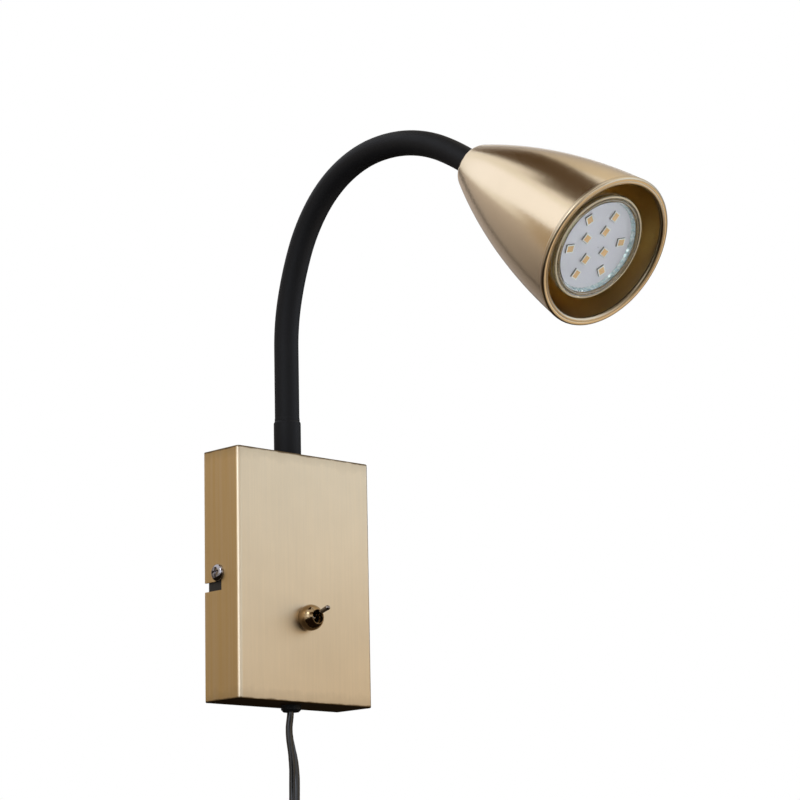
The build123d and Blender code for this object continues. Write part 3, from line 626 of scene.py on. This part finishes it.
def sleeve_mesh(name, stations, sizes, finish, around=48):
    """A tube with a wall, through stations of (point, direction), closed at both ends."""
    radius, side = sizes.sleeve_radius, Vector((1, 0, 0))
    outer, inner = [], []
    for point, direction in stations:
        up = direction.cross(side).normalized()
        for rings, reach in ((outer, radius), (inner, radius - sizes.sleeve_wall)):
            rings += [point + (side * x + up * y) * reach for x, y in circle_points(1.0, around)]
    count = len(stations)
    faces = [face[::-1] for face in closed_rings(count, around)]
    faces += closed_rings(count, around, first=count * around)
    for ring in (0, count - 1):
        for step in range(around):
            a, b = ring * around + step, ring * around + (step + 1) % around
            face = (a, b, b + count * around, a + count * around)
            faces.append(face if ring == 0 else face[::-1])
    return add_piece(name, outer + inner, faces, [finish], sharp_angle=50)


def make_ferrule(rubber, neck_radius):
    """The sleeve's thicker foot, with a soft shoulder at its top."""
    low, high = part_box("neck_collar")
    radius, height = (high.x - low.x) / 2, high.z - low.z
    place = Matrix.Translation(((low.x + high.x) / 2, (low.y + high.y) / 2, low.z))
    bore, top = neck_radius - 1.4 * MM, height - 0.6 * MM
    rebate, rebate_depth = radius - 0.55 * MM, 1.7 * MM
    foot_round, shoulder = 0.3 * MM, 1.2 * MM
    profile = [(bore, rebate_depth), (rebate, rebate_depth), (rebate, 0.0), (radius - foot_round, 0.0)]
    profile += arc_points((radius - foot_round, foot_round), foot_round, -60, 0, 3)
    profile += arc_points((radius - shoulder, height - 3.4 * MM), shoulder, 0, 55, 6)
    profile += [(neck_radius + 0.12 * MM, height - 1.5 * MM), (neck_radius + 0.05 * MM, top), (bore, top)]
    ferrule = lathe("neck_ferrule", profile, place, [rubber], around=64)
    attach(ferrule, "base")
    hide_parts("neck_collar")


class LAMP_OT_neck(Operator):
    """Make the smooth black sleeve, in pieces that run over the joints, and the ferrule at its foot"""

    bl_idname = "lamp.neck"
    bl_label = "Neck"

    def execute(self, context):
        colors, sizes = context.scene.lamp_finishes, context.scene.lamp_sizes
        rubber = moulded("neck_rubber", colors.neck, (0.52, 0.62), 3000.0, 0.012 * MM)
        rubber.set(Specular_IOR_Level=0.18)
        give(rubber, "head_fitting")
        headings = neck_headings()
        foot_depth, head_gap = 1.4 * MM, 1.25 * MM
        base, foot_steps = neck_points[0], 4
        foot = Vector((base.x, base.y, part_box("neck_collar")[1].z - foot_depth))
        before = [(foot.lerp(base, step / foot_steps), headings[0]) for step in range(foot_steps + 1)]
        # A piece of the sleeve runs from the middle of one link over a joint to the middle of the next
        for number in range(len(neck_joints)):
            after = link_walk(number, headings[number], 0.0, 0.5)
            if number == len(neck_joints) - 1:
                after = link_walk(number, headings[number], 0.0, 1.0)
                after[-1] = (head_origin - head_along * head_gap, head_along)
            sleeve = sleeve_mesh(f"sleeve_{number + 1:02d}", before + after[1:], sizes, rubber)
            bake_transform(sleeve)
            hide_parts(f"neck_sleeve_{number + 1}")
            before = link_walk(number, headings[number], 0.5, 1.0)
        make_ferrule(rubber, sizes.sleeve_radius)
        return {"FINISHED"}


# The shade

# Brush lines run round the spun shade: how closely they lie round it and along it
spun_stretch = (60.0, 5200.0, 1.0)
# Radius at which a turn round the shade is measured as a length
spun_radius = 20 * MM


def head_place(finish):
    """A vector that unrolls the shade, round it and along it, and the place about its axis as x, y and z."""
    inverse = head_frame.inverted()
    x, y, z = (
        finish.place.dot(row) + shift for row, shift in zip(inverse.to_3x3(), inverse.translation))
    turn = y.math("ARCTAN2", y, x)
    vector = turn.node("ShaderNodeCombineXYZ", {"X": turn * spun_radius, "Y": z})
    return vector, (x, y, z)


def shade_brass(colors):
    """Spun satin brass. Inside it is rougher, and a paler brass is painted light that brightens the inside.
    """
    finish = Finish("shade_brass")
    vector, (x, y, z) = head_place(finish)
    brushed_metal(finish, colors.brass, spun_stretch, (0.17, 0.27), vector)
    outward = finish.normal.dot(head_across) * x + finish.normal.dot(head_upright) * y
    bead, dullness = 2.3 * MM, 0.12
    inside = outward.below(0.0) * z.below(head_reach("shade", max) - bead)
    # Painted light: the paler brass inside the shade
    finish.tint(inside, colors.inside_lit_brass)
    finish.set(Roughness=finish.present("Roughness") + inside * dullness)
    return finish


def lip_brass(colors, edge, width):
    """Brass of the lip at 0.8 of the shade's brightness, which is painted shade, with more painted shade in
    its groove, along its far rim and over its far side.
    """
    finish = Finish("lip_brass")
    vector, (x, y, _) = head_place(finish)
    # Painted shade: the lip's brass is the shade's at 0.8 of its brightness
    brushed_metal(finish, darker(colors.brass, 0.8), spun_stretch, (0.24, 0.32), vector)
    rim_start, rim_fade = edge - 1.5 * MM, 1.1 * MM
    groove_half, groove_strength = 0.4 * MM, 0.5
    far_shade_start, far_shade_rise, far_shade_most, painted_shade_most = 0.45, 1.1, 0.5, 0.85
    # Painted shade: darker in the groove, along the rim and over the far side of the lip, the side at +x
    reach = (x * x + y * y).root()
    far = (finish.place.parts()[0] - head_origin.x) / edge
    rim = (reach - rim_start) / rim_fade * far
    groove = (1.0 - abs(reach - (edge - width / 2)) / groove_half) * groove_strength
    far_side_shade = ((far - far_shade_start) * far_shade_rise).at_most(far_shade_most)
    painted_shade = rim.at_least(groove).at_least(far_side_shade).at_least(0.0)
    finish.tint(painted_shade.at_most(painted_shade_most), colors.patina_and_shade)
    return finish


def make_lip(colors, width, thickness):
    """The rolled lip: a flattened bead with a shallow groove in front, over the bead of the shade."""
    proud, corner, groove_depth, half = 0.05 * MM, 0.95 * MM, 0.2 * MM, thickness / 2
    edge, front = head_radius("shade") + proud, head_reach("shade", max) + proud
    profile = arc_points((edge - corner, front - thickness + corner), corner, -90, 0, 6)
    profile += arc_points((edge - corner, front - corner), corner, 0, 90, 6)
    profile += [(edge - width / 2, front - groove_depth)]
    profile += arc_points((edge - width + half, front - half), half, 90, 270, 12)
    lip = lathe("shade_lip", profile, head_frame, [lip_brass(colors, edge, width)], around=160)
    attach(lip, "head")


class LAMP_OT_shade(Operator):
    """Finish the spun shade and make its rolled lip"""

    bl_idname = "lamp.shade"
    bl_label = "Shade"

    def execute(self, context):
        colors, sizes = context.scene.lamp_finishes, context.scene.lamp_sizes
        give(shade_brass(colors), "shade")
        make_lip(colors, sizes.lip_width, sizes.lip_thickness)
        return {"FINISHED"}


# The bulb

# Depth of the grain on the bulb's smallest pieces
fine_grain = 0.004 * MM


def glass_finish(name, color, roughness, clearness):
    """Glass that lets a share of the light through."""
    finish = Finish(name)
    clouds = finish.effect("Clouding", Patch=220.0)
    finish.set(Roughness=clouds.spread(roughness * 0.6, roughness * 1.4))
    return finish.set(Base_Color=color, Transmission_Weight=clearness, IOR=1.47)


def make_cup(colors, back, front, radius, mouth, board_front):
    """Glass cup with a rounded rim that has an opaque brownish-gold band of painted reflection, drawn in to
    a round base.
    """
    # Painted reflection: the gold tint stands in for the shade's inside seen in the glass
    glass = glass_finish("cup_glass_reflection_tint", colors.cup_glass_reflection_tint, 0.04, 0.9)
    glass.set(Coat_Weight=1.0, Coat_Roughness=0.03, Coat_IOR=1.9)
    # Painted reflection: the band stands in for the shade's gold inside seen in the rim
    rim_reflection_band = moulded("rim_painted_reflection", colors.rim_painted_reflection, (0.10, 0.18), 2000.0, fine_grain)
    base_radius, base_round, axis_hole = node_size("lamp_holder").x / 2 * 0.9, 0.8 * MM, 0.2 * MM
    throat = back + 11 * MM
    flare, flare_steps, flare_curve = front - 4 * MM - throat, 14, 1.25
    bead, inner_bead = 0.9 * MM, 0.6 * MM
    profile = [(axis_hole, back), (base_radius - base_round, back)]
    profile += [(base_radius, back + base_round), (base_radius, throat)]
    for step in range(1, flare_steps + 1):
        share = step / flare_steps
        profile.append((base_radius + (radius - base_radius) * share ** flare_curve, throat + flare * share))
    reflection_rings = range(len(profile) + 3, len(profile) + 6)
    profile += arc_points((radius - bead, front - bead), bead, 0, 130, 8)
    profile += [(radius - 1.8 * MM, front - 0.7 * MM)]
    profile += arc_points((mouth + inner_bead, front - inner_bead), inner_bead, 60, 180, 8)
    profile += [(mouth, front - 2.0 * MM), (mouth - 0.6 * MM, board_front - 0.6 * MM)]
    profile += [(axis_hole, board_front - 1.4 * MM)]
    around = 128
    cup = lathe("bulb_cup", profile, head_frame, [glass, rim_reflection_band], around)
    for polygon in cup.data.polygons:
        polygon.material_index = int(polygon.index // around in reflection_rings)
    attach(cup, "bulb")
    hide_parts("bulb_body")


def make_front(colors, front, mouth):
    """Front glass, a thin disc with a bevelled edge just inside the rim."""
    glass = glass_finish("bulb_glass", colors.glass, 0.05, 1.0)
    edge, bevel, axis_hole = mouth - 0.15 * MM, 0.3 * MM, 0.1 * MM
    top, bottom = front - 0.45 * MM, front - 1.5 * MM
    profile = [(axis_hole, bottom), (edge - bevel, bottom), (edge, bottom + bevel)]
    profile += [(edge, top - bevel), (edge - bevel, top), (axis_hole, top)]
    disc = lathe("bulb_front_glass", profile, head_frame, [glass], around=96)
    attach(disc, "bulb")
    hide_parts("bulb_lens")


def make_facets(colors, count, front, mouth, board_front):
    """Pressed facets on the wall between the front glass and the board."""
    finish = Finish("pressed_glass")
    # Painted glints: cloudy patches run from a darker teal to a near-white glint
    glint = finish.effect("Clouding", Patch=900.0).spread(-1.6, 2.3)
    finish.set(Base_Color=glint.mix(darker(colors.facets, 0.7), colors.facet_glint))
    finish.set(Roughness=0.1, Metallic=0.5)
    around, groove = 2 * count, 0.38 * MM
    top, bottom = front - 1.6 * MM, board_front + 0.05 * MM
    # Rings up the face and down the back: height, distance in from the mouth, depth of the grooves
    rings = (
        (bottom, 0.9 * MM, groove), ((top + bottom) / 2, 0.35 * MM, groove), (top, 0.12 * MM, groove),
        (top, 0.02 * MM, 0.0), (bottom, 0.4 * MM, 0.0))
    verts = []
    for height, draw_in, depth in rings:
        for step, (x, y) in enumerate(circle_points(1.0, around)):
            reach = mouth - draw_in - depth * (step % 2)
            verts.append(head_frame @ Vector((reach * x, reach * y, height)))
    faces = [face[::-1] for face in closed_rings(len(rings), around, wrap=True)]
    ring = add_piece("bulb_facets", verts, faces, [finish], sharp_angle=8)
    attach(ring, "bulb")


def make_chips(colors, sizes, board_front):
    """Light chips in two rings on the board: a side wall painted dark as shade, a white frame, and a yellow
    window set in it.
    """
    finishes = [
        moulded("chip_frame", colors.chip_frame, (0.35, 0.5), 2000.0, fine_grain),
        moulded("phosphor", colors.phosphor, (0.25, 0.35), 2600.0, fine_grain),
        # Painted shade: the side walls are the frame's white at 0.1 of its brightness
        moulded("chip_wall_shade", darker(colors.chip_frame, 0.1), (0.4, 0.55), 2000.0, fine_grain)]
    frame_slot, window_slot, shade_slot = range(3)
    long, wide, tall = sizes.chip_length / 2, sizes.chip_width / 2, sizes.chip_height
    bevel, inset, sink = 0.08 * MM, 0.5 * MM, 0.1 * MM
    levels = ((0.0, 0.0), (0.0, tall - bevel), (bevel, tall), (inset, tall), (inset, tall - sink))
    # Number of chips in a ring, the ring's radius, and where its first chip lies, in degrees
    rings = ((6, 15.2 * MM, 17.4), (4, 7.5 * MM, 75.0))
    turns = [(ring, phase + 360 * number / count) for count, ring, phase in rings for number in range(count)]
    verts, faces, slots = [], [], []
    for ring, turn in turns:
        place = head_frame @ Matrix.Rotation(radians(turn), 4, "Z")
        place = place @ Matrix.Translation((ring, 0, board_front))
        first = len(verts)
        for draw_in, height in levels:
            x, y = long - draw_in, wide - draw_in
            verts += [place @ Vector((*corner, height)) for corner in ((-x, -y), (x, -y), (x, y), (-x, y))]
        top = len(verts) - 4
        faces += closed_rings(len(levels), 4, first)
        faces += [(top, top + 1, top + 2, top + 3), (first + 3, first + 2, first + 1, first)]
        slots += [shade_slot] * 4 + [frame_slot] * 4 * (len(levels) - 2) + [window_slot, frame_slot]
    chips = add_piece("chips", verts, faces, finishes, sharp_angle=20)
    for polygon, slot in zip(chips.data.polygons, slots):
        polygon.material_index = slot
    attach(chips, "bulb")
    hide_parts("light_chips")


class LAMP_OT_bulb(Operator):
    """Make the reflector bulb: glass cup, front glass, faceted edge and chips, and finish its board"""

    bl_idname = "lamp.bulb"
    bl_label = "Bulb"

    def execute(self, context):
        colors, sizes = context.scene.lamp_finishes, context.scene.lamp_sizes
        back, front = (head_reach("bulb_body", pick) for pick in (min, max))
        board_front = head_reach("chip_board", max)
        radius = head_radius("bulb_body")
        mouth = radius - sizes.rim_width
        make_cup(colors, back, front, radius, mouth, board_front)
        make_front(colors, front, mouth)
        make_facets(colors, sizes.facet_count, front, mouth, board_front)
        board = moulded("chip_board", colors.board, (0.3, 0.42), 700.0, 0.006 * MM)
        give(board.set(Coat_Weight=0.3, Coat_Roughness=0.15), "chip_board")
        make_chips(colors, sizes, board_front)
        return {"FINISHED"}


# The lead

# Route of the lead: the same points as the solids follow. The second is where it leaves the bushing.
cord_route = [Vector(point) * MM for point in (
    (0.0, -13.0, -53.0), (0.0, -13.0, -63.2), (-1.0, -11.7, -72.5), (1.2, -13.5, -87.0),
    (1.2, -13.4, -102.0), (0.5, -13.5, -121.5), (0.0, -13.0, -141.2), (0.0, -13.0, -160.8))]
# The coil: turns in each layer, the part of a turn that crosses to the next, and control points in a turn
coil_centre = Vector((0.0, -47.5, -166.0)) * MM
coil_radius = 34.5 * MM
coil_pitch = 5.8 * MM
coil_layers = (2.0, 2.0, 2.0, 1.5)
coil_crossing = 0.5
coil_steps = 24
# The straight tail below the coil: shares of its length where its control points lie
tail_shares = (0.12, 0.35, 0.6, 0.85, 1.0)
# Turn of the flat cord's width about the vertical, by height: edge on at the bushing, then broadside
cord_twists = (
    (-53.0 * MM, radians(46)), (-70.0 * MM, radians(40)), (-105.0 * MM, radians(-42)), (-158.0 * MM, 0.0))


def coil_place(turns):
    """Radius and side shift of the coil after a number of turns."""
    passed, radius, shift, inward = 0.0, coil_radius, 0.0, -1
    for layer, length in enumerate(coil_layers):
        here = min(turns - passed, length)
        if here < length or layer == len(coil_layers) - 1:
            return radius + inward * coil_pitch * here, shift
        radius += inward * coil_pitch * length
        passed += length
        crossing = turns - passed
        if crossing < coil_crossing:
            swing = inward * coil_pitch * min(crossing, coil_crossing - crossing)
            return radius + swing, shift + coil_pitch * (1 - cos(pi * crossing / coil_crossing)) / 2
        passed += coil_crossing
        shift += coil_pitch
        inward = -inward


def cord_points(plug_top):
    """Control points of the whole lead: the hanging run, the coil's turns and the tail to the plug."""
    points = list(cord_route)
    total = sum(coil_layers) + coil_crossing * (len(coil_layers) - 1)
    bulge = 1 / cos(pi / coil_steps)
    for step in range(round(total * coil_steps) + 1):
        turns = step / coil_steps
        radius, shift = coil_place(turns)
        reach, angle = radius * bulge, 2 * pi * turns
        points.append(coil_centre + Vector((shift, reach * cos(angle), -reach * sin(angle))))
    end = points[-1].z
    points += [Vector((plug_top.x, plug_top.y, end - (end - plug_top.z) * share)) for share in tail_shares]
    return points


def smooth_line(points, resolution):
    """Points along a NURBS line through control points, as Blender works them out."""
    curve = bpy.data.curves.new("route", "CURVE")
    curve.dimensions = "3D"
    curve.resolution_u = resolution
    spline = curve.splines.new("NURBS")
    spline.points.add(len(points) - 1)
    for target, point in zip(spline.points, points):
        target.co = (*point, 1.0)
    spline.order_u = 3
    spline.use_endpoint_u = True
    holder = bpy.data.objects.new("route", curve)
    mesh = bpy.data.meshes.new_from_object(holder)
    line = [vertex.co.copy() for vertex in mesh.vertices]
    bpy.data.meshes.remove(mesh)
    bpy.data.objects.remove(holder)
    bpy.data.curves.remove(curve)
    return line


def eased(height, table):
    """Smooth steps between the rows of a table of (height, angle), from the top down."""
    for (high, first), (low, second) in zip(table, table[1:]):
        if height >= low:
            share = clamp((high - height) / (high - low))
            return first + (second - first) * share * share * (3 - 2 * share)
    return table[-1][1]


def twin_section(width, thickness, steps=9):
    """Outline of a flat twin cord: two round wires side by side with a groove between them."""
    radius = thickness / 2
    offset = width / 2 - radius
    open_angle = 180 - degrees(acos(offset / radius))
    right = arc_points((offset, 0), radius, -open_angle, open_angle, steps)
    return right + [(-x, -y) for x, y in right]


def sweep_cord(line, section, vinyl):
    """The cord's section carried along its line. Its width follows the twist, and the axis of the coil."""
    verts = []
    for index, point in enumerate(line):
        along = (line[min(index + 1, len(line) - 1)] - line[max(index - 1, 0)]).normalized()
        angle = eased(point.z, cord_twists) if index < len(line) // 2 else 0.0
        wide = Vector((cos(angle), sin(angle), 0.0))
        wide = (wide - along * wide.dot(along)).normalized()
        flat = along.cross(wide)
        verts += [point + wide * x + flat * y for x, y in section]
    around = len(section)
    faces = closed_rings(len(line), around)
    faces.append(tuple(range(around))[::-1])
    faces.append(tuple(range(len(verts) - around, len(verts))))
    return add_piece("lead", verts, faces, [vinyl], sharp_angle=60)


def make_tie(cord, vinyl):
    """A flat band drawn tight round the turns, with rounded corners."""
    low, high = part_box("cord_tie")
    thick, corner, corner_steps, bevel = 1.0 * MM, 2.4 * MM, 6, 0.3 * MM
    held = [v.co for v in cord.data.vertices if low.z <= v.co.z <= high.z and v.co.y <= high.y]
    margin = Vector((thick, thick, 0.0))
    low = Vector((min(v.x for v in held), min(v.y for v in held), low.z)) - margin
    high = Vector((max(v.x for v in held), max(v.y for v in held), high.z)) + margin
    middle, size = (low + high) / 2, high - low
    half = size.z / 2
    levels = (
        (0.0, -half + bevel), (0.0, half - bevel), (bevel, half), (thick, half), (thick, -half),
        (bevel, -half))
    verts = []
    for draw_in, height in levels:
        for sign_x, sign_y, start in ((1, 1, 0), (-1, 1, 90), (-1, -1, 180), (1, -1, 270)):
            centre = (sign_x * (size.x / 2 - corner), sign_y * (size.y / 2 - corner))
            outline = arc_points(centre, corner - draw_in, start, start + 90, corner_steps)
            verts += [middle + Vector((x, y, height)) for x, y in outline]
    faces = closed_rings(len(levels), len(verts) // len(levels), wrap=True)
    tie = add_piece("tie_band", verts, faces, [vinyl], sharp_angle=40)
    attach(tie, "base")
    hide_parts("cord_tie")
    return tie


class LAMP_OT_lead(Operator):
    """Make the flat twin cord and its tie, and finish the bushing and the plug"""

    bl_idname = "lamp.lead"
    bl_label = "Lead"

    def execute(self, context):
        colors, sizes = context.scene.lamp_finishes, context.scene.lamp_sizes
        plastic = moulded("black_plastic", colors.plastic, (0.3, 0.42))
        give(plastic.set(Specular_IOR_Level=0.15), "cord_grommet", "plug_body")
        give(plain_metal("plug_nickel", colors.nickel, (0.18, 0.3)), "plug_pins")
        vinyl = moulded("cord_vinyl", colors.vinyl, (0.12, 0.20), 1400.0, 0.002 * MM)
        vinyl.set(Specular_IOR_Level=0.6)
        low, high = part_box("plug_body")
        plug_top = Vector(((low.x + high.x) / 2, (low.y + high.y) / 2, high.z))
        line = smooth_line(cord_points(plug_top), resolution=4)
        cord = sweep_cord(line, twin_section(sizes.cord_width, sizes.cord_thickness), vinyl)
        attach(cord, "base")
        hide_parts("power_cord", "cord_coil", "cord_tail")
        tie = make_tie(cord, vinyl)
        return {"FINISHED"}


# The studio

# Cards: a corner and two sides in metres, and the light that reflections see in each.
# A second light is what the card fades to along its second side.
cards = (
    ("card_streak", (-0.32, -0.45, 1.15), (0.88, 0.88, 0), (-0.28, 0.28, 0), (0.085, 0.048, 0.018)),
    ("card_streak_end", (-0.498, -0.096, 1.15), (0.31, 0.31, 0), (-0.14, 0.14, 0), (0.085, 0.048, 0.018)),
    ("card_top", (0.28, -0.60, 1.25), (1.5, 0, 0), (0, 1.5, 0), (1.12, 0.98, 0.70), (0.33, 0.31, 0.33)),
    ("card_bright", (-0.12, 1.17, 0.75), (-1.07, -0.68, 0), (0.03, -0.37, 0.51), (1.22, 1.26, 1.40)),
    ("card_wall", (-0.95, 1.2, -0.05), (2.5, 0, 0), (0, 0, 0.77), (0.25, 0.22, 0.20), (0.60, 0.55, 0.53)),
    ("card_left", (-4.2, 1.2, -0.5), (3.25, 0, 0), (0, 0, 1.6), (0.42, 0.33, 0.22)),
    ("card_sill", (-0.95, 1.2, -0.25), (1.4, 0, 0), (0, 0, 0.2), (0.20, 0.17, 0.155)),
    ("card_soft", (-1.7, -1.05, -0.03), (0, 0.7, 0), (0, 0, 1.65), (1.8, 2.0, 2.4)),
    ("card_glint", (-1.69, -0.95, 0.85), (0, 0.6, 0), (0, 0, 0.7), (5.0, 5.3, 5.8)),
    ("card_low", (-1.5, -1.25, -0.33), (1.6, -0.4, 0), (0, 0, 0.30), (0.02, 0.012, 0.006)),
    ("card_high", (-1.5, -1.25, 0.55), (1.6, -0.4, 0), (0, 0, 1.0), (0.20, 0.14, 0.09)),
    ("card_ground", (-1.5, -1.6, -0.325), (1.7, 0, 0), (0, 1.3, 0), (0.03, 0.02, 0.012)),
    ("card_below", (-1.0, -0.3, -0.32), (5.0, 0, 0), (0, 4.2, 0), (0.02, 0.014, 0.009)),
    ("card_foot", (-0.17, -0.22, -0.11), (0.39, 0, 0), (0, 0.19, 0), (0.02, 0.012, 0.007)),
    ("card_right", (1.7, -0.35, -0.3), (0, 1.5, 0), (0, 0, 1.4), (0.05, 0.04, 0.028)),
    ("card_far", (1.0, 1.15, -0.3), (1.6, 0, 0), (0, 0, 1.4), (0.05, 0.04, 0.028)),
    ("card_back", (0.2, 3.2, -0.4), (2.6, -2.4, 0), (0, 0, 0.37), (0.02, 0.014, 0.009)),
    ("card_front", (0.18, -1.57, -0.4), (1.33, 1.17, 0), (0, 0, 1.5), (1.07, 1.22, 1.44)),
    ("card_warm", (0.12, -0.506, -0.35), (0.43, 0.376, 0), (0, 0, 0.41), (0.80, 0.65, 0.46)),
)


def add_camera(scene, studio):
    """The photograph's view: turned from the wall's normal, looking up, slightly rolled."""
    yaw, pitch, roll = studio.yaw, studio.pitch, studio.roll
    ahead = Vector((sin(yaw) * cos(pitch), cos(yaw) * cos(pitch), sin(pitch)))
    level = Vector((cos(yaw), -sin(yaw), 0.0))
    above = level.cross(ahead)
    right = level * cos(roll) + above * sin(roll)
    up = above * cos(roll) - level * sin(roll)
    camera = bpy.data.cameras.new("camera")
    camera.lens = studio.lens
    camera.sensor_width = 36.0
    camera.clip_start = 0.01
    holder = bpy.data.objects.new("camera", camera)
    turn = Matrix((right, up, -ahead)).transposed().to_4x4()
    holder.matrix_world = Matrix.Translation(studio.place) @ turn
    scene.collection.objects.link(holder)
    scene.camera = holder


def light_world(scene, ambient):
    """White for the camera, for reflections and through glass, and an even light for matt surfaces."""
    world = bpy.data.worlds.new("studio")
    world.use_nodes = True
    scene.world = world
    rays = add_node(world.node_tree, "ShaderNodeLightPath")
    kinds = ("Is Camera Ray", "Is Transmission Ray", "Is Glossy Ray")
    camera, through, glossy = (Value(rays.outputs[kind]) for kind in kinds)
    strength = camera.at_least(through).at_least(glossy).spread(ambient, 1.0)
    feed(world.node_tree.nodes["Background"], {"Color": (1, 1, 1, 1), "Strength": strength})


def add_lamp(name, place, size, power):
    """A square soft lamp that points at the middle of the object."""
    target = Vector((0.0, -0.1, 0.06))
    light = bpy.data.lights.new(name, "AREA")
    light.size = size
    light.energy = power
    holder = bpy.data.objects.new(name, light)
    holder.location = place
    holder.rotation_euler = (target - Vector(place)).to_track_quat("-Z", "Y").to_euler()
    holder.visible_camera = False
    holder.visible_glossy = False
    bpy.context.scene.collection.objects.link(holder)


def add_sheet(name, corner, first, second, finish):
    """A flat sheet of the studio, from a corner and two sides."""
    corners = [corner, corner + first, corner + first + second, corner + second]
    return add_piece(name, corners, [(0, 1, 2, 3)], [finish])


def add_floor():
    """A plain pale floor below the plug."""
    drop, reach = 0.02, 4.0
    low = cad_box[0][2] - drop
    finish = Finish("floor")
    clouds = finish.effect("Clouding", Patch=1.5)
    finish.set(Base_Color=clouds.mix((0.84, 0.84, 0.84, 1), (0.86, 0.86, 0.86, 1)), Roughness=0.9)
    corner = Vector((-reach, -reach, low))
    floor = add_sheet("floor", corner, Vector((2 * reach, 0, 0)), Vector((0, 2 * reach, 0)), finish)


def add_cards():
    """Cards out of view, which only reflections see, give the metal its darker and warmer bands."""
    for name, corner, first, second, light, *far_light in cards:
        corner, first, second = Vector(corner), Vector(first), Vector(second)
        finish = Finish(name)
        finish.set(Base_Color=(0, 0, 0, 1), Specular_IOR_Level=0.0, Roughness=1.0)
        finish.set(Emission_Color=(*light, 1), Emission_Strength=1.0)
        if far_light:
            slope = second / second.length_squared
            share = finish.place.dot(slope) - corner.dot(slope)
            finish.set(Emission_Color=share.mix((*light, 1), (*far_light[0], 1)))
        card = add_sheet(name, corner, first, second, finish)
        card.visible_camera = False
        card.visible_diffuse = False
        card.visible_shadow = False
        card.visible_transmission = False


class LAMP_OT_stage(Operator):
    """Set up the camera, the lamps, the white surroundings, the floor and the cards"""

    bl_idname = "lamp.stage"
    bl_label = "Studio"

    def execute(self, context):
        studio = context.scene.lamp_studio
        context.scene.view_settings.view_transform = "Standard"
        add_camera(context.scene, studio)
        light_world(context.scene, studio.ambient)
        add_lamp("key", (0.75, -1.25, 1.05), 0.9, studio.key_power)
        add_lamp("fill", (-1.2, -0.7, 0.35), 0.8, studio.fill_power)
        add_lamp("side", (0.95, -1.05, 0.05), 0.25, studio.side_power)
        add_floor()
        add_cards()
        return {"FINISHED"}


# The panel, and the steps in order


class LAMP_PT_panel(Panel):
    """Lists the steps that dress the lamp"""

    bl_idname = "LAMP_PT_panel"
    bl_label = "Wall lamp"
    bl_space_type = "VIEW_3D"
    bl_region_type = "UI"
    bl_category = "Wall lamp"

    def draw(self, context):
        for operator in operators:
            self.layout.operator(operator.bl_idname)


operators = (
    LAMP_OT_box, LAMP_OT_switch, LAMP_OT_hardware, LAMP_OT_neck, LAMP_OT_shade, LAMP_OT_bulb, LAMP_OT_lead,
    LAMP_OT_stage)
classes = (LampFinishes, LampSizes, LampStudio, *operators, LAMP_PT_panel)


def register():
    for cls in classes:
        bpy.utils.register_class(cls)
    bpy.types.Scene.lamp_finishes = PointerProperty(type=LampFinishes)
    bpy.types.Scene.lamp_sizes = PointerProperty(type=LampSizes)
    bpy.types.Scene.lamp_studio = PointerProperty(type=LampStudio)


def unregister():
    del bpy.types.Scene.lamp_studio
    del bpy.types.Scene.lamp_sizes
    del bpy.types.Scene.lamp_finishes
    for cls in reversed(classes):
        bpy.utils.unregister_class(cls)


def main():
    register()
    bpy.ops.lamp.box()
    bpy.ops.lamp.switch()
    bpy.ops.lamp.hardware()
    bpy.ops.lamp.neck()
    bpy.ops.lamp.shade()
    bpy.ops.lamp.bulb()
    bpy.ops.lamp.lead()
    bpy.ops.lamp.stage()


if __name__ == "__main__":
    main()
